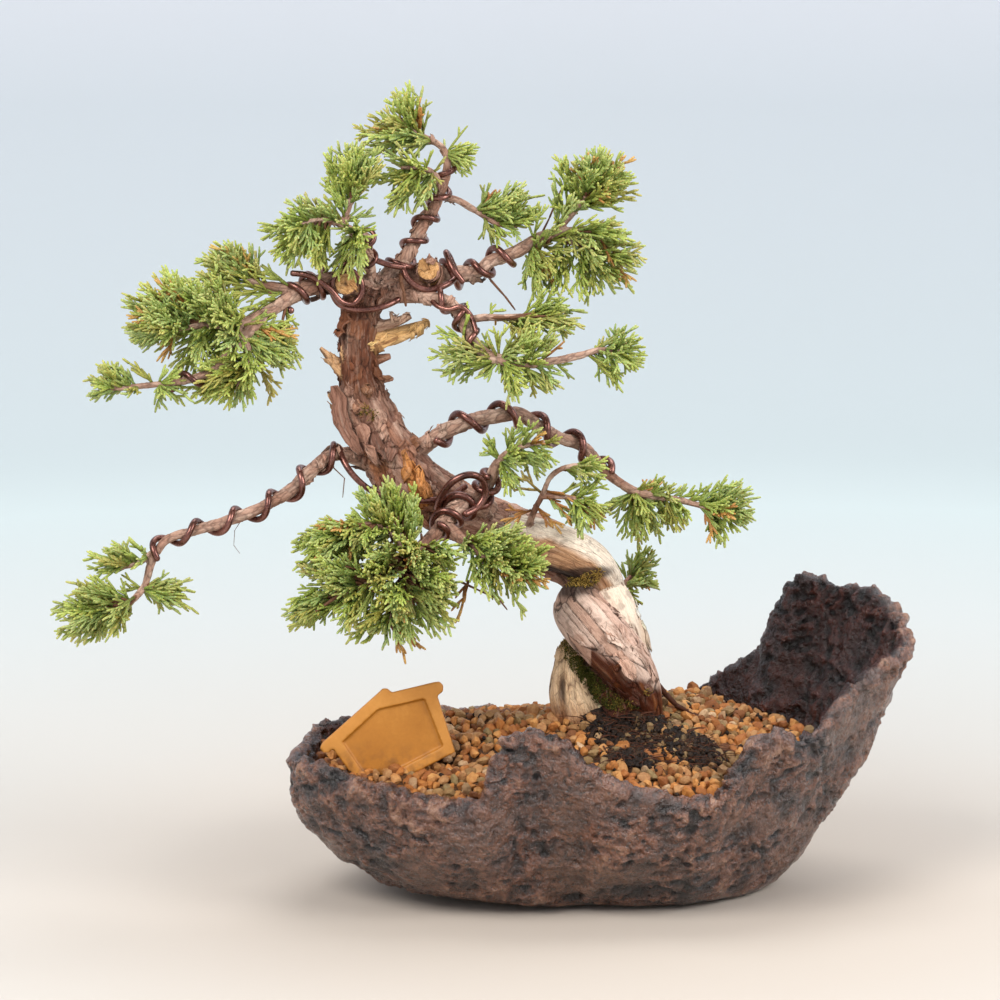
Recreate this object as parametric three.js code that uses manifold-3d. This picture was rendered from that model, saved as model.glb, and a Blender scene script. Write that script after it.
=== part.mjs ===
// A juniper bonsai in a rock-like crescent pot: pot, drainage nets, granular soil, one tree of wood
// with its deadwood stubs, shaping wire, foliage pads and a blank house-shaped label.
// Millimetres, +Z up, the front of the tree faces -Y. The origin is the middle of the pot's flat foot.
import * as THREE from "three";
import { mergeVertices } from "three/addons/utils/BufferGeometryUtils.js";
import Module from "manifold-3d";

const wasm = await Module();
wasm.setup();

// ---------------------------------------------------------------- driving dimensions

const GAP = 0.3; // clearance between neighbouring pieces

const POT = {
  sides: 56,
  wall: 9, // thickness of the wall below the rim
  floor: 9, // height of the inside floor over the foot
  foot: { middle: 4, halfLength: 54, halfWidth: 32 },
  lump: 2.3, // height of the rock's larger lumps
  outerSteps: 6,
  innerSteps: 4,
};

// The outer edge of the rim, anticlockwise seen from above, from the right-hand end.
const RIM = [
  [113, -4, 94], [112, 9, 101], [107, 21, 110], [100, 33, 110], [92, 41, 110], [83, 47, 112],
  [75, 52, 113], [71, 56, 102], [68, 60, 89], [62, 63, 81], [51, 66, 74], [40, 69, 66], [22, 71, 60],
  [-15, 72, 57], [-48, 68, 55], [-80, 54, 56], [-99, 35, 58], [-108, 22, 61], [-115, 12, 61],
  [-118, 0, 59], [-119, -14, 58], [-121, -30, 58], [-117, -41, 58], [-106, -50, 57], [-97, -57, 53],
  [-86, -63, 52], [-75, -68, 50], [-60, -71, 47], [-50, -72, 48], [-46, -73, 60], [-42, -73, 70],
  [-34, -73, 75], [-21, -73, 71], [-14, -73, 64], [-5, -73, 57], [7, -73, 53], [19, -72, 50],
  [29, -71, 48], [37, -70, 50], [44, -67, 61], [50, -64, 69], [57, -60, 73], [67, -53, 67],
  [80, -42, 71], [87, -34, 82], [99, -20, 87],
];

const DRAIN = { radius: 6, offset: 26, netSize: 20, netThickness: 0.8, netHole: 6, netPitch: 8 };

const SOIL = {
  level: 52.5, // height in the middle, under the mounds
  slope: 0.1, // it rises towards the back
  mounds: [
    { at: [-12, 14], height: 17.5, reach: 52 }, // it is heaped up behind the trunk
    { at: [0, -2], height: 8, reach: 26 }, // and round its foot
  ],
  grain: 9.4, // spacing of the relief's grains, larger than life
  relief: 2.8,
  fit: { scale: 0.992, about: 40 }, // the filling is the pot's inside, made smaller about that height
};

// Wood: each limb is a list of [x, y, z, radius].
const TRUNK = [
  [4, 2, 40, 12], [4, 2, 54, 12.5], [3, 2, 69, 12.5], [1, 1, 81, 12], [-1, 2, 92, 12], [-3, 5, 103, 11],
  [-6, 10, 112, 9.5], [-13, 12, 120, 9.5], [-24, 13, 127, 10], [-38, 13, 132, 10.3], [-52, 12, 138, 10.8],
  [-65, 8, 145, 11.5], [-78, 4, 155, 12], [-84.5, 1, 166, 10.4], [-89.5, -1, 177, 9],
  [-94, -3, 188, 8.2],
  [-95.3, -4, 199, 6.9], [-95.2, -4, 210, 6.6], [-93.5, -4, 221, 7.4], [-91, -5, 228, 6.5],
];

const LIMBS = {
  strand_left: {
    sides: 7,
    points: [
      [-10, -1, 44, 8], [-12, -4, 56, 9.5], [-14, -5, 67, 9.3], [-16.5, -6, 76, 7.8], [-17, -5, 84, 5.6],
      [-15.5, -1, 91, 4.6], [-10, 5, 96, 3.5],
    ],
  },
  strand_front: {
    sides: 8,
    points: [
      [13, -4, 58, 5], [12.5, -6, 66, 5.6], [11.5, -8, 72, 6.6], [8.8, -10, 79.5, 8.2],
      [4.5, -11.5, 86.5, 9.7],
      [-1.8, -12, 94, 10.6], [-8.5, -11, 101.5, 10.6], [-12.5, -6, 106, 10], [-12, 2, 109, 9],
    ],
  },
  strand_right: {
    sides: 7,
    points: [
      [7, 6, 54, 10], [8, 5, 66, 9.5], [8, 4, 76, 8.6], [5.6, 3, 87, 8.6], [3, 2, 96, 9],
      [-0.5, 2, 105, 9.3],
      [-4.5, 4, 112, 8.8], [-6, 8, 118, 8.5],
    ],
  },
  roll: {
    sides: 8,
    points: [
      [-46, 12, 134, 9], [-36, 9, 131, 9.3], [-26, 5, 129.5, 9.4], [-17, -0.5, 127.5, 9],
      [-9.5, -1, 123.5, 8.6],
      [-5, 3, 117, 8.3], [-3, 8, 111, 8],
    ],
  },
  low_left: {
    sides: 6,
    points: [
      [-88, 0, 160, 4], [-98, -3, 164, 2.7], [-105, -9, 165, 2.5], [-112, -14, 160, 2.5],
      [-120, -19, 153, 2.4],
      [-131, -24, 147, 2.2], [-143, -29, 143, 2], [-155, -34, 140, 1.8], [-164, -36, 137, 1.7],
      [-169, -38, 129, 1.5], [-172, -40, 120, 1.3], [-180, -42, 113, 1], [-189, -43, 111, 0.8],
    ],
  },
  low_left_twig: {
    sides: 4,
    points: [
      [-168, -37, 133, 1.4], [-174, -38, 129, 1.1], [-182, -39, 127, 0.8],
    ],
  },
  mid_right: {
    sides: 6,
    points: [
      [-82, 3, 158, 4.6], [-73, 3, 166, 3.5], [-64, 4, 172, 2.9], [-54, 5, 176, 2.8], [-44, 7, 178, 2.9],
      [-35, 10, 178, 2.7], [-27, 12, 173, 2.5], [-20, 13, 169, 2.4], [-12, 14, 166, 2.3],
      [-6, 14, 160, 2.2],
      [0, 14, 154, 2], [10, 14, 148, 1.7], [22, 14, 146, 1.4], [34, 14, 143, 1.1], [45, 14, 140, 0.8],
    ],
  },
  front: {
    sides: 6,
    points: [
      [-46, 12, 136, 6], [-50, 3, 145, 4.6], [-57, -8, 146, 3.6], [-63, -18, 141, 2.9],
      [-69, -30, 136, 2.4],
      [-77, -40, 130, 1.9], [-87, -49, 125, 1.3], [-98, -54, 121, 0.8],
    ],
  },
  front_up: {
    sides: 4,
    points: [
      [-76, -39, 131, 1.5], [-81, -40, 140, 1.2], [-90, -42, 144, 1], [-101, -46, 140, 0.8],
    ],
  },
  front_low: { sides: 4, points: [[-77, -40, 130, 1.6], [-79, -50, 120, 1.2], [-83, -55, 110, 0.8]] },
  front_right: {
    sides: 5,
    points: [[-63, -18, 141, 2.6], [-55, -29, 135, 1.9], [-44, -35, 129, 1.3], [-31, -38, 125, 0.8]],
  },
  mid: {
    sides: 5,
    points: [
      [-53, 8, 140, 4], [-51, -2, 147, 2.9], [-46, -8, 156, 2.4], [-43, -12, 163, 1.8],
      [-37, -15, 168, 1.3],
      [-26, -16, 171, 0.8],
    ],
  },
  mid_low: {
    sides: 5,
    points: [
      [-33, 8, 132, 2], [-30, -4, 143, 1.5], [-27, -10, 150, 1.4], [-24, -12, 157, 1.2],
      [-19, -14, 161, 1],
      [-12, -15, 162, 0.8],
    ],
  },
  mid_low_twig: { sides: 4, points: [[-27, -10, 150, 1.2], [-18, -14, 150, 1], [-9, -15, 148, 0.8]] },
  back: {
    sides: 5,
    points: [
      [-7, 12, 110, 3], [2, 24, 109, 1.8], [7, 32, 112, 1.2], [11, 37, 117, 0.8],
    ],
  },
  upper_left: {
    sides: 6,
    points: [
      [-90, -5, 225, 6], [-98, -8, 229, 4.6], [-107, -11, 229, 3.6], [-114, -14, 227, 3.1],
      [-121, -18, 223, 2.7],
      [-129, -24, 218, 2.3], [-139, -29, 215, 1.8], [-150, -33, 215, 1.3], [-165, -37, 213, 0.8],
    ],
  },
  upper_left_top: {
    sides: 5,
    points: [
      [-114, -14, 227, 2.4], [-124, -18, 228, 1.8], [-132, -20, 230, 1.3], [-141, -20, 234, 0.8],
    ],
  },
  upper_left_low: {
    sides: 4,
    points: [
      [-139, -29, 215, 1.6], [-134, -31, 207, 1.3], [-134, -33, 200, 1.1], [-139, -34, 192, 0.8],
    ],
  },
  left_tip: {
    sides: 5,
    points: [
      [-128, -24, 218, 2.1], [-137, -32, 209, 1.8], [-143, -37, 202, 1.6], [-151, -41, 197, 1.5],
      [-162, -43, 195, 1.3], [-173, -44, 194, 1.1], [-184, -46, 193, 0.8],
    ],
  },
  apex: {
    sides: 6,
    points: [
      [-91, -5, 225, 4.6], [-85, -4, 230, 3.5], [-79, -4, 236, 2.9], [-75, -4, 242, 2.6],
      [-71, -2, 250, 2.4],
      [-67, 0, 256, 2.2], [-64, 0, 263, 2], [-62, 0, 270, 1.7], [-63, 0, 277, 1.4], [-68, -2, 281, 1.2],
      [-74, -3, 284, 1], [-79, -4, 288, 0.8],
    ],
  },
  apex_inner: {
    sides: 4,
    points: [
      [-64, 0, 262, 1.5], [-67, -5, 269, 1.2], [-73, -9, 271, 1], [-79, -10, 271, 0.8],
    ],
  },
  crown_left: {
    sides: 5,
    points: [
      [-90, -5, 226, 2.6], [-90, -10, 234, 1.8], [-91, -14, 241, 1.7], [-91, -16, 246, 1.6],
      [-97, -18, 249, 1.4],
      [-104, -19, 252, 1.2], [-111, -20, 252, 1], [-119, -22, 248, 0.8],
    ],
  },
  crown_up: { sides: 4, points: [[-100, -18, 251, 1.4], [-97, -16, 259, 1.1], [-95, -14, 268, 0.8]] },
  upper_right: {
    sides: 6,
    points: [
      [-91, -4, 225, 6.5], [-81, 0, 228, 5.6], [-70, 2, 230, 5], [-60, 4, 231, 3.5], [-51, 6, 232, 2.7],
      [-46, 7, 236, 2.6], [-40, 8, 238, 2.7], [-33, 10, 241, 2.6], [-26, 11, 245, 2.2],
      [-16, 12, 247, 1.5],
      [-7, 12, 245, 0.9],
    ],
  },
  upper_right_up: {
    sides: 4,
    points: [
      [-23, 11, 246, 1.7], [-16, 14, 253, 1.4], [-10, 14, 260, 1.1], [-6, 14, 267, 0.8],
    ],
  },
  upper_right_low: { sides: 4, points: [[-20, 12, 246, 1.4], [-12, 14, 240, 1.1], [-5, 14, 233, 0.8]] },
  upper_right_twig: {
    sides: 5,
    points: [
      [-65, 1, 260, 1.6], [-59, 4, 259, 1.3], [-52, 6, 255, 1.2], [-44, 8, 250, 1.1], [-36, 9, 248, 0.8],
    ],
  },
  right_under: {
    sides: 6,
    points: [
      [-88, -4, 223, 4], [-79, -6, 224, 2.9], [-70, -8, 223.5, 2.5], [-62, -10, 222, 2.4],
      [-57, -12, 217, 2.4],
      [-54, -14, 210, 2.4], [-49, -16, 204, 2.4], [-42, -17, 201, 2.2], [-32, -18, 200, 1.9],
      [-22, -18, 201, 1.6],
      [-13, -18, 203, 1.4], [-5, -18, 205, 1.1], [3, -18, 204, 0.8],
    ],
  },
  right_under_twig: {
    sides: 5,
    points: [
      [-56, -12, 215, 1.6], [-49, -8, 216, 1.5], [-38, -6, 216, 1.3], [-27, -4, 217, 0.9],
    ],
  },
};

// Bare stubs of deadwood and sawn-off branches: [foot, tip, foot radius, tip radius].
const STUBS = [
  [[-91, -3, 210], [-69, -3, 212.5], 3.6, 1.2],
  [[-90, -4, 212], [-75, -6, 216.5], 2.8, 1.3],
  [[-98, -4, 194], [-109, -8, 204.5], 3.6, 1.3],
  [[-100, -3, 180], [-106, -8, 188], 2.8, 1],
  [[-71, -4, 149], [-78, -14, 167], 4.2, 1.8],
  [[-68, 1, 232], [-69, -8, 234], 4.4, 4.1],
  [[-98, -7, 228], [-99, -17, 229], 4.2, 3.9],
  [[-90, -4, 200], [-83, -4, 201], 2.2, 1.2],
  [[-91, -6, 187], [-91, -14, 190], 2.6, 1.4],
];

const WIRE_SIDES = 4;
const WIRE_STEPS_PER_TURN = 7;

// Shaping wire: its radius and the stretches of limb that it winds round, each with its share of the
// limb's length, its turns and the angle where it starts.
const WIRES = {
  wire_low_left: { radius: 1.2, limb: "low_left", from: 0.12, to: 0.76, turns: -5.5, start: 1.2 },
  wire_mid_right: { radius: 1.4, limb: "mid_right", from: 0.13, to: 0.66, turns: 5, start: 2 },
  wire_front: { radius: 1.3, limb: "front", from: 0.24, to: 0.5, turns: 2.5, start: 2.6 },
  wire_mid: { radius: 1.3, limb: "mid", from: 0.26, to: 0.52, turns: 2, start: 2.6 },
  wire_upper_left: { radius: 1.3, limb: "upper_left", from: 0.2, to: 0.42, turns: 2.5, start: 0 },
  wire_left_tip: { radius: 1.1, limb: "left_tip", from: 0.44, to: 0.66, turns: 1.5, start: 0 },
  wire_apex: { radius: 1.1, limb: "apex", from: 0.16, to: 0.68, turns: 4.5, start: 0 },
  wire_crown_left: { radius: 0.9, limb: "crown_left", from: 0.16, to: 0.46, turns: 2, start: 0 },
  wire_upper_right: { radius: 1.3, limb: "upper_right", from: 0.32, to: 0.62, turns: 2.5, start: 0 },
  wire_right_under: { radius: 1.1, limb: "right_under", from: 0.22, to: 0.5, turns: 3, start: 0 },
};

// Foliage pads. Stems: a limb, and the share of its length from which it is leafy and belongs to the pad.
// Lobes: ellipsoids with a middle, three half sizes, the way their sprays lean and the number of sprays.
const PADS = {
  foliage_low_left: {
    stems: [["low_left", 0.83]],
    lobes: [
      { at: [-188, -44, 112], half: [16, 16, 14], lean: [-0.5, -0.1, -0.2], sprays: 6 },
      { at: [-163, -38, 119], half: [7, 4, 7], lean: [0.6, 0, -0.4], sprays: 2 },
    ],
  },
  foliage_low_left_top: {
    stems: [["low_left_twig", 0.15]],
    lobes: [{ at: [-180, -39, 129], half: [13, 8, 8], lean: [-0.4, 0, 0.4], sprays: 3 }],
  },
  foliage_upper_left: {
    stems: [["upper_left", 0.62], ["upper_left_low", 0]],
    lobes: [
      { at: [-153, -32, 217], half: [26, 19, 18], lean: [-0.6, -0.1, 0.3], sprays: 9 },
      { at: [-141, -33, 202], half: [18, 14, 17], lean: [-0.3, -0.1, -0.4], sprays: 6 },
      { at: [-123, -22, 208], half: [6, 7, 11], lean: [0.6, 0, -0.5], sprays: 2 },
    ],
  },
  foliage_upper_left_top: {
    stems: [["upper_left_top", 0.35]],
    lobes: [{ at: [-140, -21, 234], half: [15, 9, 10], lean: [-0.4, 0, 0.5], sprays: 4 }],
  },
  foliage_left_tip: {
    stems: [["left_tip", 0.7]],
    lobes: [
      { at: [-179, -45, 195], half: [12, 9, 9], lean: [-0.7, 0, 0.1], sprays: 4 },
      { at: [-160, -42, 194], half: [10, 9, 9], lean: [-0.1, 0, -0.2], sprays: 2 },
    ],
  },
  foliage_crown_left: {
    stems: [["crown_left", 0.5], ["crown_up", 0]],
    lobes: [
      { at: [-105, -20, 246], half: [24, 15, 16], lean: [-0.4, 0, -0.1], sprays: 8 },
      { at: [-95, -16, 268], half: [13, 12, 12], lean: [-0.1, 0, 0.5], sprays: 4 },
    ],
  },
  foliage_apex: {
    stems: [["apex", 0.72]],
    lobes: [
      { at: [-82, -4, 282], half: [14, 12, 9], lean: [-0.4, 0, 0.1], sprays: 4 },
      { at: [-77, -3, 290], half: [8, 6, 9], lean: [-0.1, 0, 0.8], sprays: 2 },
      { at: [-59, 0, 274], half: [6, 6, 7], lean: [0.8, 0, 0], sprays: 2 },
    ],
  },
  foliage_apex_inner: {
    stems: [["apex_inner", 0.4]],
    lobes: [{ at: [-76, -9, 266], half: [13, 11, 13], lean: [-0.2, -0.2, -0.2], sprays: 5 }],
  },
  foliage_upper_right: {
    stems: [["upper_right", 0.7], ["upper_right_up", 0], ["upper_right_low", 0]],
    lobes: [
      { at: [-8, 13, 264], half: [17, 14, 13], lean: [0.2, 0, 0.5], sprays: 7 },
      { at: [-8, 12, 237], half: [20, 16, 16], lean: [0.4, 0, -0.1], sprays: 6 },
      { at: [-27, 9, 230], half: [9, 7, 9], lean: [0.1, 0, -0.5], sprays: 2 },
    ],
  },
  foliage_upper_right_twig: {
    stems: [["upper_right_twig", 0.45]],
    lobes: [{ at: [-38, 9, 252], half: [13, 11, 12], lean: [0.1, 0, 0.4], sprays: 6 }],
  },
  foliage_right_under: {
    stems: [["right_under", 0.53]],
    lobes: [
      { at: [-34, -19, 197], half: [16, 11, 11], lean: [0.1, -0.1, -0.3], sprays: 5 },
      { at: [-32, -18, 208], half: [14, 8, 7], lean: [0.2, 0, 0.5], sprays: 2 },
      { at: [0, -18, 202], half: [9, 11, 11], lean: [0.4, 0, 0], sprays: 5 },
      { at: [-58, -17, 203], half: [9, 8, 9], lean: [-0.5, -0.1, -0.2], sprays: 2 },
    ],
  },
  foliage_right_under_twig: {
    stems: [["right_under_twig", 0.3]],
    lobes: [{ at: [-29, -5, 215], half: [18, 9, 9], lean: [0.3, 0, 0], sprays: 5 }],
  },
  foliage_mid_right: {
    stems: [["mid_right", 0.72]],
    lobes: [
      { at: [15, 14, 141], half: [16, 12, 13], lean: [0.1, 0, -0.2], sprays: 6 },
      { at: [42, 14, 141], half: [13, 12, 13], lean: [0.4, 0, 0], sprays: 5 },
    ],
  },
  foliage_mid: {
    stems: [["mid", 0.62]],
    lobes: [{ at: [-35, -16, 165], half: [14, 11, 14], lean: [0.2, 0, 0], sprays: 5 }],
  },
  foliage_mid_low: {
    stems: [["mid_low", 0.5], ["mid_low_twig", 0]],
    lobes: [
      { at: [-12, -14, 158], half: [10, 8, 8], lean: [0.4, 0, 0.2], sprays: 3 },
      { at: [-11, -15, 144], half: [9, 8, 7], lean: [0.2, 0, -0.3], sprays: 3 },
    ],
  },
  foliage_front: {
    stems: [["front", 0.58], ["front_up", 0], ["front_low", 0]],
    lobes: [
      { at: [-98, -48, 134], half: [20, 17, 14], lean: [-0.5, -0.1, 0.1], sprays: 6 },
      { at: [-81, -50, 122], half: [29, 23, 23], lean: [0, -0.3, 0], sprays: 11 },
      { at: [-83, -38, 148], half: [15, 11, 12], lean: [-0.1, 0, 0.5], sprays: 3 },
      { at: [-112, -52, 114], half: [9, 3, 6], lean: [-0.9, 0, -0.5], sprays: 1 },
    ],
  },
  foliage_front_right: {
    stems: [["front_right", 0.3]],
    lobes: [{ at: [-40, -38, 129], half: [17, 13, 15], lean: [0.2, -0.1, 0], sprays: 7 }],
  },
  foliage_back: {
    stems: [["back", 0.5]],
    lobes: [{ at: [10, 35, 113], half: [9, 9, 11], lean: [0.3, 0, 0], sprays: 4 }],
  },
};

const NEEDLE = {
  radius: 0.9,
  bands: [0, 0.36, 0.5, 0.64], // shares of a spray between its bands: all but the first have side needles
  side: 0.62, // length of a side needle for the length of its spray
};

// The blank label: its outline, seen from the front with the right-hand foot at the origin.
const LABEL = {
  outline: [
    [0, 0], [3.7, 21.3], [6.3, 21.8], [7.4, 23.7], [6.8, 25.6], [5, 26.3], [-10.6, 30.2], [-11.4, 32.2],
    [-12.9, 33], [-14.6, 32.5], [-42, 25.5], [-43.5, 24.2], [-43.1, 22.3], [-41.2, 21.2],
    [-39.3, 21.7], [-36, 0],
  ],
  recess: [[-3, 4], [-1, 22.6], [-18, 27], [-35, 22.4], [-32.8, 4]],
  thickness: 3.2,
  recessDepth: 1.2,
  place: [-59, -32, 58],
  turn: { back: 0.13, roll: 0.48 }, // leaned back and rolled, in radians
};

// ---------------------------------------------------------------- solids and meshes

/** A closed skin through rings of equal length, with a flat fan at each end. */
function loft(rings, otherFold = false) {
  const sides = rings[0].length;
  const middle = (ring) => ring.reduce((sum, p) => sum.add(p), new THREE.Vector3()).divideScalar(sides);
  const points = [...rings.flat(), middle(rings[0]), middle(rings.at(-1))];
  const last = (rings.length - 1) * sides;
  const index = [];
  for (let j = 0; j < sides; j++) {
    const k = (j + 1) % sides;
    index.push(points.length - 2, k, j, points.length - 1, last + j, last + k);
    for (let i = 0; i < last; i += sides) {
      const [a, b, c, d] = [i + j, i + k, i + sides + k, i + sides + j];
      index.push(...(otherFold ? [a, b, d, b, c, d] : [a, b, c, a, c, d]));
    }
  }
  return new THREE.BufferGeometry().setFromPoints(points).setIndex(index);
}

/** A closed geometry as a solid that can be joined and cut. */
function solid(geometry) {
  const bare = geometry.clone();
  bare.deleteAttribute("normal");
  bare.deleteAttribute("uv");
  const merged = mergeVertices(bare, 1e-4);
  const mesh = new wasm.Mesh({
    numProp: 3,
    vertProperties: merged.attributes.position.array,
    triVerts: new Uint32Array(merged.index.array),
  });
  return new wasm.Manifold(mesh);
}

const union = (solids) => wasm.Manifold.union(solids);

/** The largest body of a solid: what a cut leaves loose is dropped. */
function largest(shape) {
  return shape.decompose().reduce((best, body) => (body.volume() > best.volume() ? body : best));
}

const root = new THREE.Group();

function addNode(name, shape, material) {
  const mesh = shape.getMesh();
  const geometry = new THREE.BufferGeometry()
    .setAttribute("position", new THREE.BufferAttribute(mesh.vertProperties, 3))
    .setIndex(new THREE.BufferAttribute(mesh.triVerts, 1));
  const node = new THREE.Mesh(geometry, material);
  node.name = name;
  root.add(node);
}

const finish = (color, roughness, metalness = 0) => {
  return new THREE.MeshStandardMaterial({ color, roughness, metalness });
};
const MATERIALS = {
  pot: finish(0x4a3a36, 0.45),
  net: finish(0x1c1d1c, 0.6),
  soil: finish(0xa8743a, 0.95),
  wood: finish(0x8a6450, 0.85),
  wire: finish(0x5a322c, 0.35, 0.8),
  foliage: finish(0x5c8436, 0.6),
  label: finish(0xd29a3c, 0.5),
};

/** Share k of an endless, even spread of points between 0 and 1: number i of it. */
const SPREAD = [0.8812714616, 0.776639389, 0.6844301295, 0.6031687406, 0.5315553977, 0.4684484902];
const spread = (i, k) => (0.5 + i * SPREAD[k]) % 1;

const steps = (count) => Array.from({ length: count + 1 }, (_, i) => i / count);
const vector = ([x, y, z]) => new THREE.Vector3(x, y, z);

// ---------------------------------------------------------------- pot

const rimCurve = new THREE.CatmullRomCurve3(RIM.map(vector), true, "catmullrom", 0.5);

/** The rim's points: place, way out in plan view and the angle of the foot below. */
const rim = Array.from({ length: POT.sides }, (_, j) => {
  const at = rimCurve.getPointAt(j / POT.sides);
  const along = rimCurve.getTangentAt(j / POT.sides);
  const out = new THREE.Vector3(along.y, -along.x, 0).normalize();
  return { at, out, angle: Math.atan2(at.y / 72, (at.x + 5) / 117) };
});

/** Lumps of the rock: nothing at the foot and at the rim's edge. */
function rockLump(angle, height) {
  const waves =
    0.5 * Math.sin(5 * angle + 4 * height) + 0.4 * Math.sin(9 * angle - 7 * height + 1) +
    0.35 * Math.sin(14 * angle + 11 * height + 2) + 0.25 * Math.sin(23 * angle - 13 * height);
  return POT.lump * waves * Math.sqrt(Math.sin(Math.PI * height));
}

/** Share of the way out and of the way up that the wall has come at step t, from 0 to 1. */
function swing(t, angle) {
  const up = 1 - Math.cos((t * Math.PI) / 2);
  const belly = 0.72 - 0.42 * Math.cos(angle);
  return { up, out: Math.min(belly * Math.sin((t * Math.PI) / 2) + (1 - belly) * up, 1.03) };
}

function wallPoint({ at, out, angle }, t, { inset, floor, footScale, lumps }) {
  const way = swing(t, angle);
  const { middle, halfLength, halfWidth } = POT.foot;
  const foot = new THREE.Vector3(halfLength * Math.cos(angle), halfWidth * Math.sin(angle), 0);
  foot.multiplyScalar(footScale).x += middle;
  const edge = at.clone().addScaledVector(out, -inset);
  const p = foot.lerp(edge, way.out).addScaledVector(out, lumps * rockLump(angle, t));
  return p.setZ(floor + (at.z - floor) * way.up);
}

/** Rings up a wall from the foot to just under the rim. */
function wallRings(count, side) {
  return steps(count).slice(0, -1).map((t) => rim.map((point) => wallPoint(point, t, side)));
}

/** A ring of the rim's edge, moved in and down. */
function edge(inset, drop) {
  return rim.map(({ at, out }) => at.clone().addScaledVector(out, -inset).setZ(at.z - drop));
}

/** The rings of the pot's inside, upwards. */
const cavity = [
  ...wallRings(POT.innerSteps, { inset: POT.wall, floor: POT.floor, footScale: 0.8, lumps: 0.5 }),
  edge(POT.wall * 0.8, 1.2),
];

function makePot() {
  const rings = [
    ...wallRings(POT.outerSteps, { inset: 0, floor: 0, footScale: 1, lumps: 1 }),
    edge(0.3, 3),
    edge(POT.wall * 0.35, 0),
    ...cavity.toReversed(),
  ];
  const drain = (side) => {
    const cylinder = new THREE.CylinderGeometry(DRAIN.radius, DRAIN.radius, POT.floor * 3, 12);
    return solid(cylinder.rotateX(Math.PI / 2).translate(side * DRAIN.offset, 0, 0));
  };
  return solid(loft(rings)).subtract(drain(-1)).subtract(drain(1));
}

// ---------------------------------------------------------------- drainage nets

function netPlate(side, grow) {
  const size = DRAIN.netSize + 2 * grow;
  const plate = new THREE.BoxGeometry(size, size, DRAIN.netThickness + 2 * grow);
  return solid(plate.translate(side * DRAIN.offset, 0, POT.floor + GAP + DRAIN.netThickness / 2));
}

function makeNet(side) {
  const hole = (i, j) => {
    const box = new THREE.BoxGeometry(DRAIN.netHole, DRAIN.netHole, POT.floor);
    const [x, y] = [side * DRAIN.offset + i * DRAIN.netPitch, j * DRAIN.netPitch];
    return solid(box.translate(x, y, POT.floor + GAP));
  };
  const holes = [hole(-0.5, -0.5), hole(-0.5, 0.5), hole(0.5, -0.5), hole(0.5, 0.5)];
  return netPlate(side, 0).subtract(union(holes));
}

// ---------------------------------------------------------------- limbs

const LIMB_STEPS = 60;

/** Evenly spaced stations along a limb: place, way along, two ways across and radius. */
function stationsOf(points) {
  const curve = new THREE.CatmullRomCurve3(points.map(vector), false, "catmullrom", 0.5);
  const stations = steps(LIMB_STEPS).map((share) => {
    const t = curve.getUtoTmapping(share);
    const whole = Math.min(Math.floor(t * (points.length - 1)), points.length - 2);
    const part = t * (points.length - 1) - whole;
    const radius = THREE.MathUtils.lerp(points[whole][3], points[whole + 1][3], part);
    return { at: curve.getPoint(t), radius };
  });
  const normal = new THREE.Vector3(0, 0.3, 1);
  stations.forEach((station, i) => {
    const before = stations[Math.max(i - 1, 0)].at;
    const after = stations[Math.min(i + 1, LIMB_STEPS)].at;
    station.along = after.clone().sub(before).normalize();
    normal.addScaledVector(station.along, -normal.dot(station.along)).normalize();
    station.up = normal.clone();
    station.across = station.along.clone().cross(normal);
  });
  stations.span = curve.getLength();
  return stations;
}

/** The station at a share of the limb's length, between the two nearest. */
function stationAt(stations, share) {
  const i = Math.min(Math.floor(share * LIMB_STEPS), LIMB_STEPS - 1);
  const part = share * LIMB_STEPS - i;
  const [a, b] = [stations[i], stations[i + 1]];
  const mix = (key) => a[key].clone().lerp(b[key], part);
  return {
    at: mix("at"),
    along: mix("along").normalize(),
    up: mix("up").normalize(),
    across: mix("across").normalize(),
    radius: THREE.MathUtils.lerp(a.radius, b.radius, part),
  };
}

/** A ring round a station: radius(angle) gives its outline. */
function ringAt(station, sides, radius) {
  return Array.from({ length: sides }, (_, j) => {
    const angle = (2 * Math.PI * j) / sides;
    const p = station.at.clone().addScaledVector(station.up, radius(angle) * Math.cos(angle));
    return p.addScaledVector(station.across, radius(angle) * Math.sin(angle));
  });
}

/** A limb's body from one share of its length to another, grown all over by some millimetres. */
function limbBody(stations, { sides, rings, grow = 0, from = 0, to = 1, outline = () => 1 }) {
  const bands = steps(rings).map((step) => {
    const share = from + (to - from) * step;
    const station = stationAt(stations, share);
    if (step === 0) station.at.addScaledVector(station.along, -grow);
    if (step === 1) station.at.addScaledVector(station.along, grow);
    return ringAt(station, sides, (angle) => station.radius * outline(angle, share) + grow);
  });
  return solid(loft(bands));
}

/** The trunk is two strands grown together and twisted, deep low down and shallow at the top. */
function trunkOutline(angle, share) {
  const depth = 0.03 + 0.12 * Math.max(0, 1 - share * 2.4);
  return 1 + depth * Math.cos(2 * angle - 9 * share) + 0.04 * Math.cos(5 * angle + 4 * share);
}

const trunkStations = stationsOf(TRUNK);
const limbStations = Object.fromEntries(
  Object.entries(LIMBS).map(([name, { points }]) => [name, stationsOf(points)]),
);

function stubBody([foot, tip, footRadius, tipRadius], grow) {
  const start = vector(foot);
  const end = vector(tip);
  const along = end.clone().sub(start);
  const length = along.length() + 2 * grow;
  const turn = new THREE.Quaternion().setFromUnitVectors(new THREE.Vector3(0, 1, 0), along.normalize());
  const cone = new THREE.CylinderGeometry(tipRadius + grow, footRadius + grow, length, 5);
  return solid(cone.applyQuaternion(turn).translate(...start.add(end).multiplyScalar(0.5).toArray()));
}

/** The share of each limb's length where its pad takes over. */
const leafyFrom = Object.fromEntries(Object.values(PADS).flatMap(({ stems }) => stems));

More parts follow.
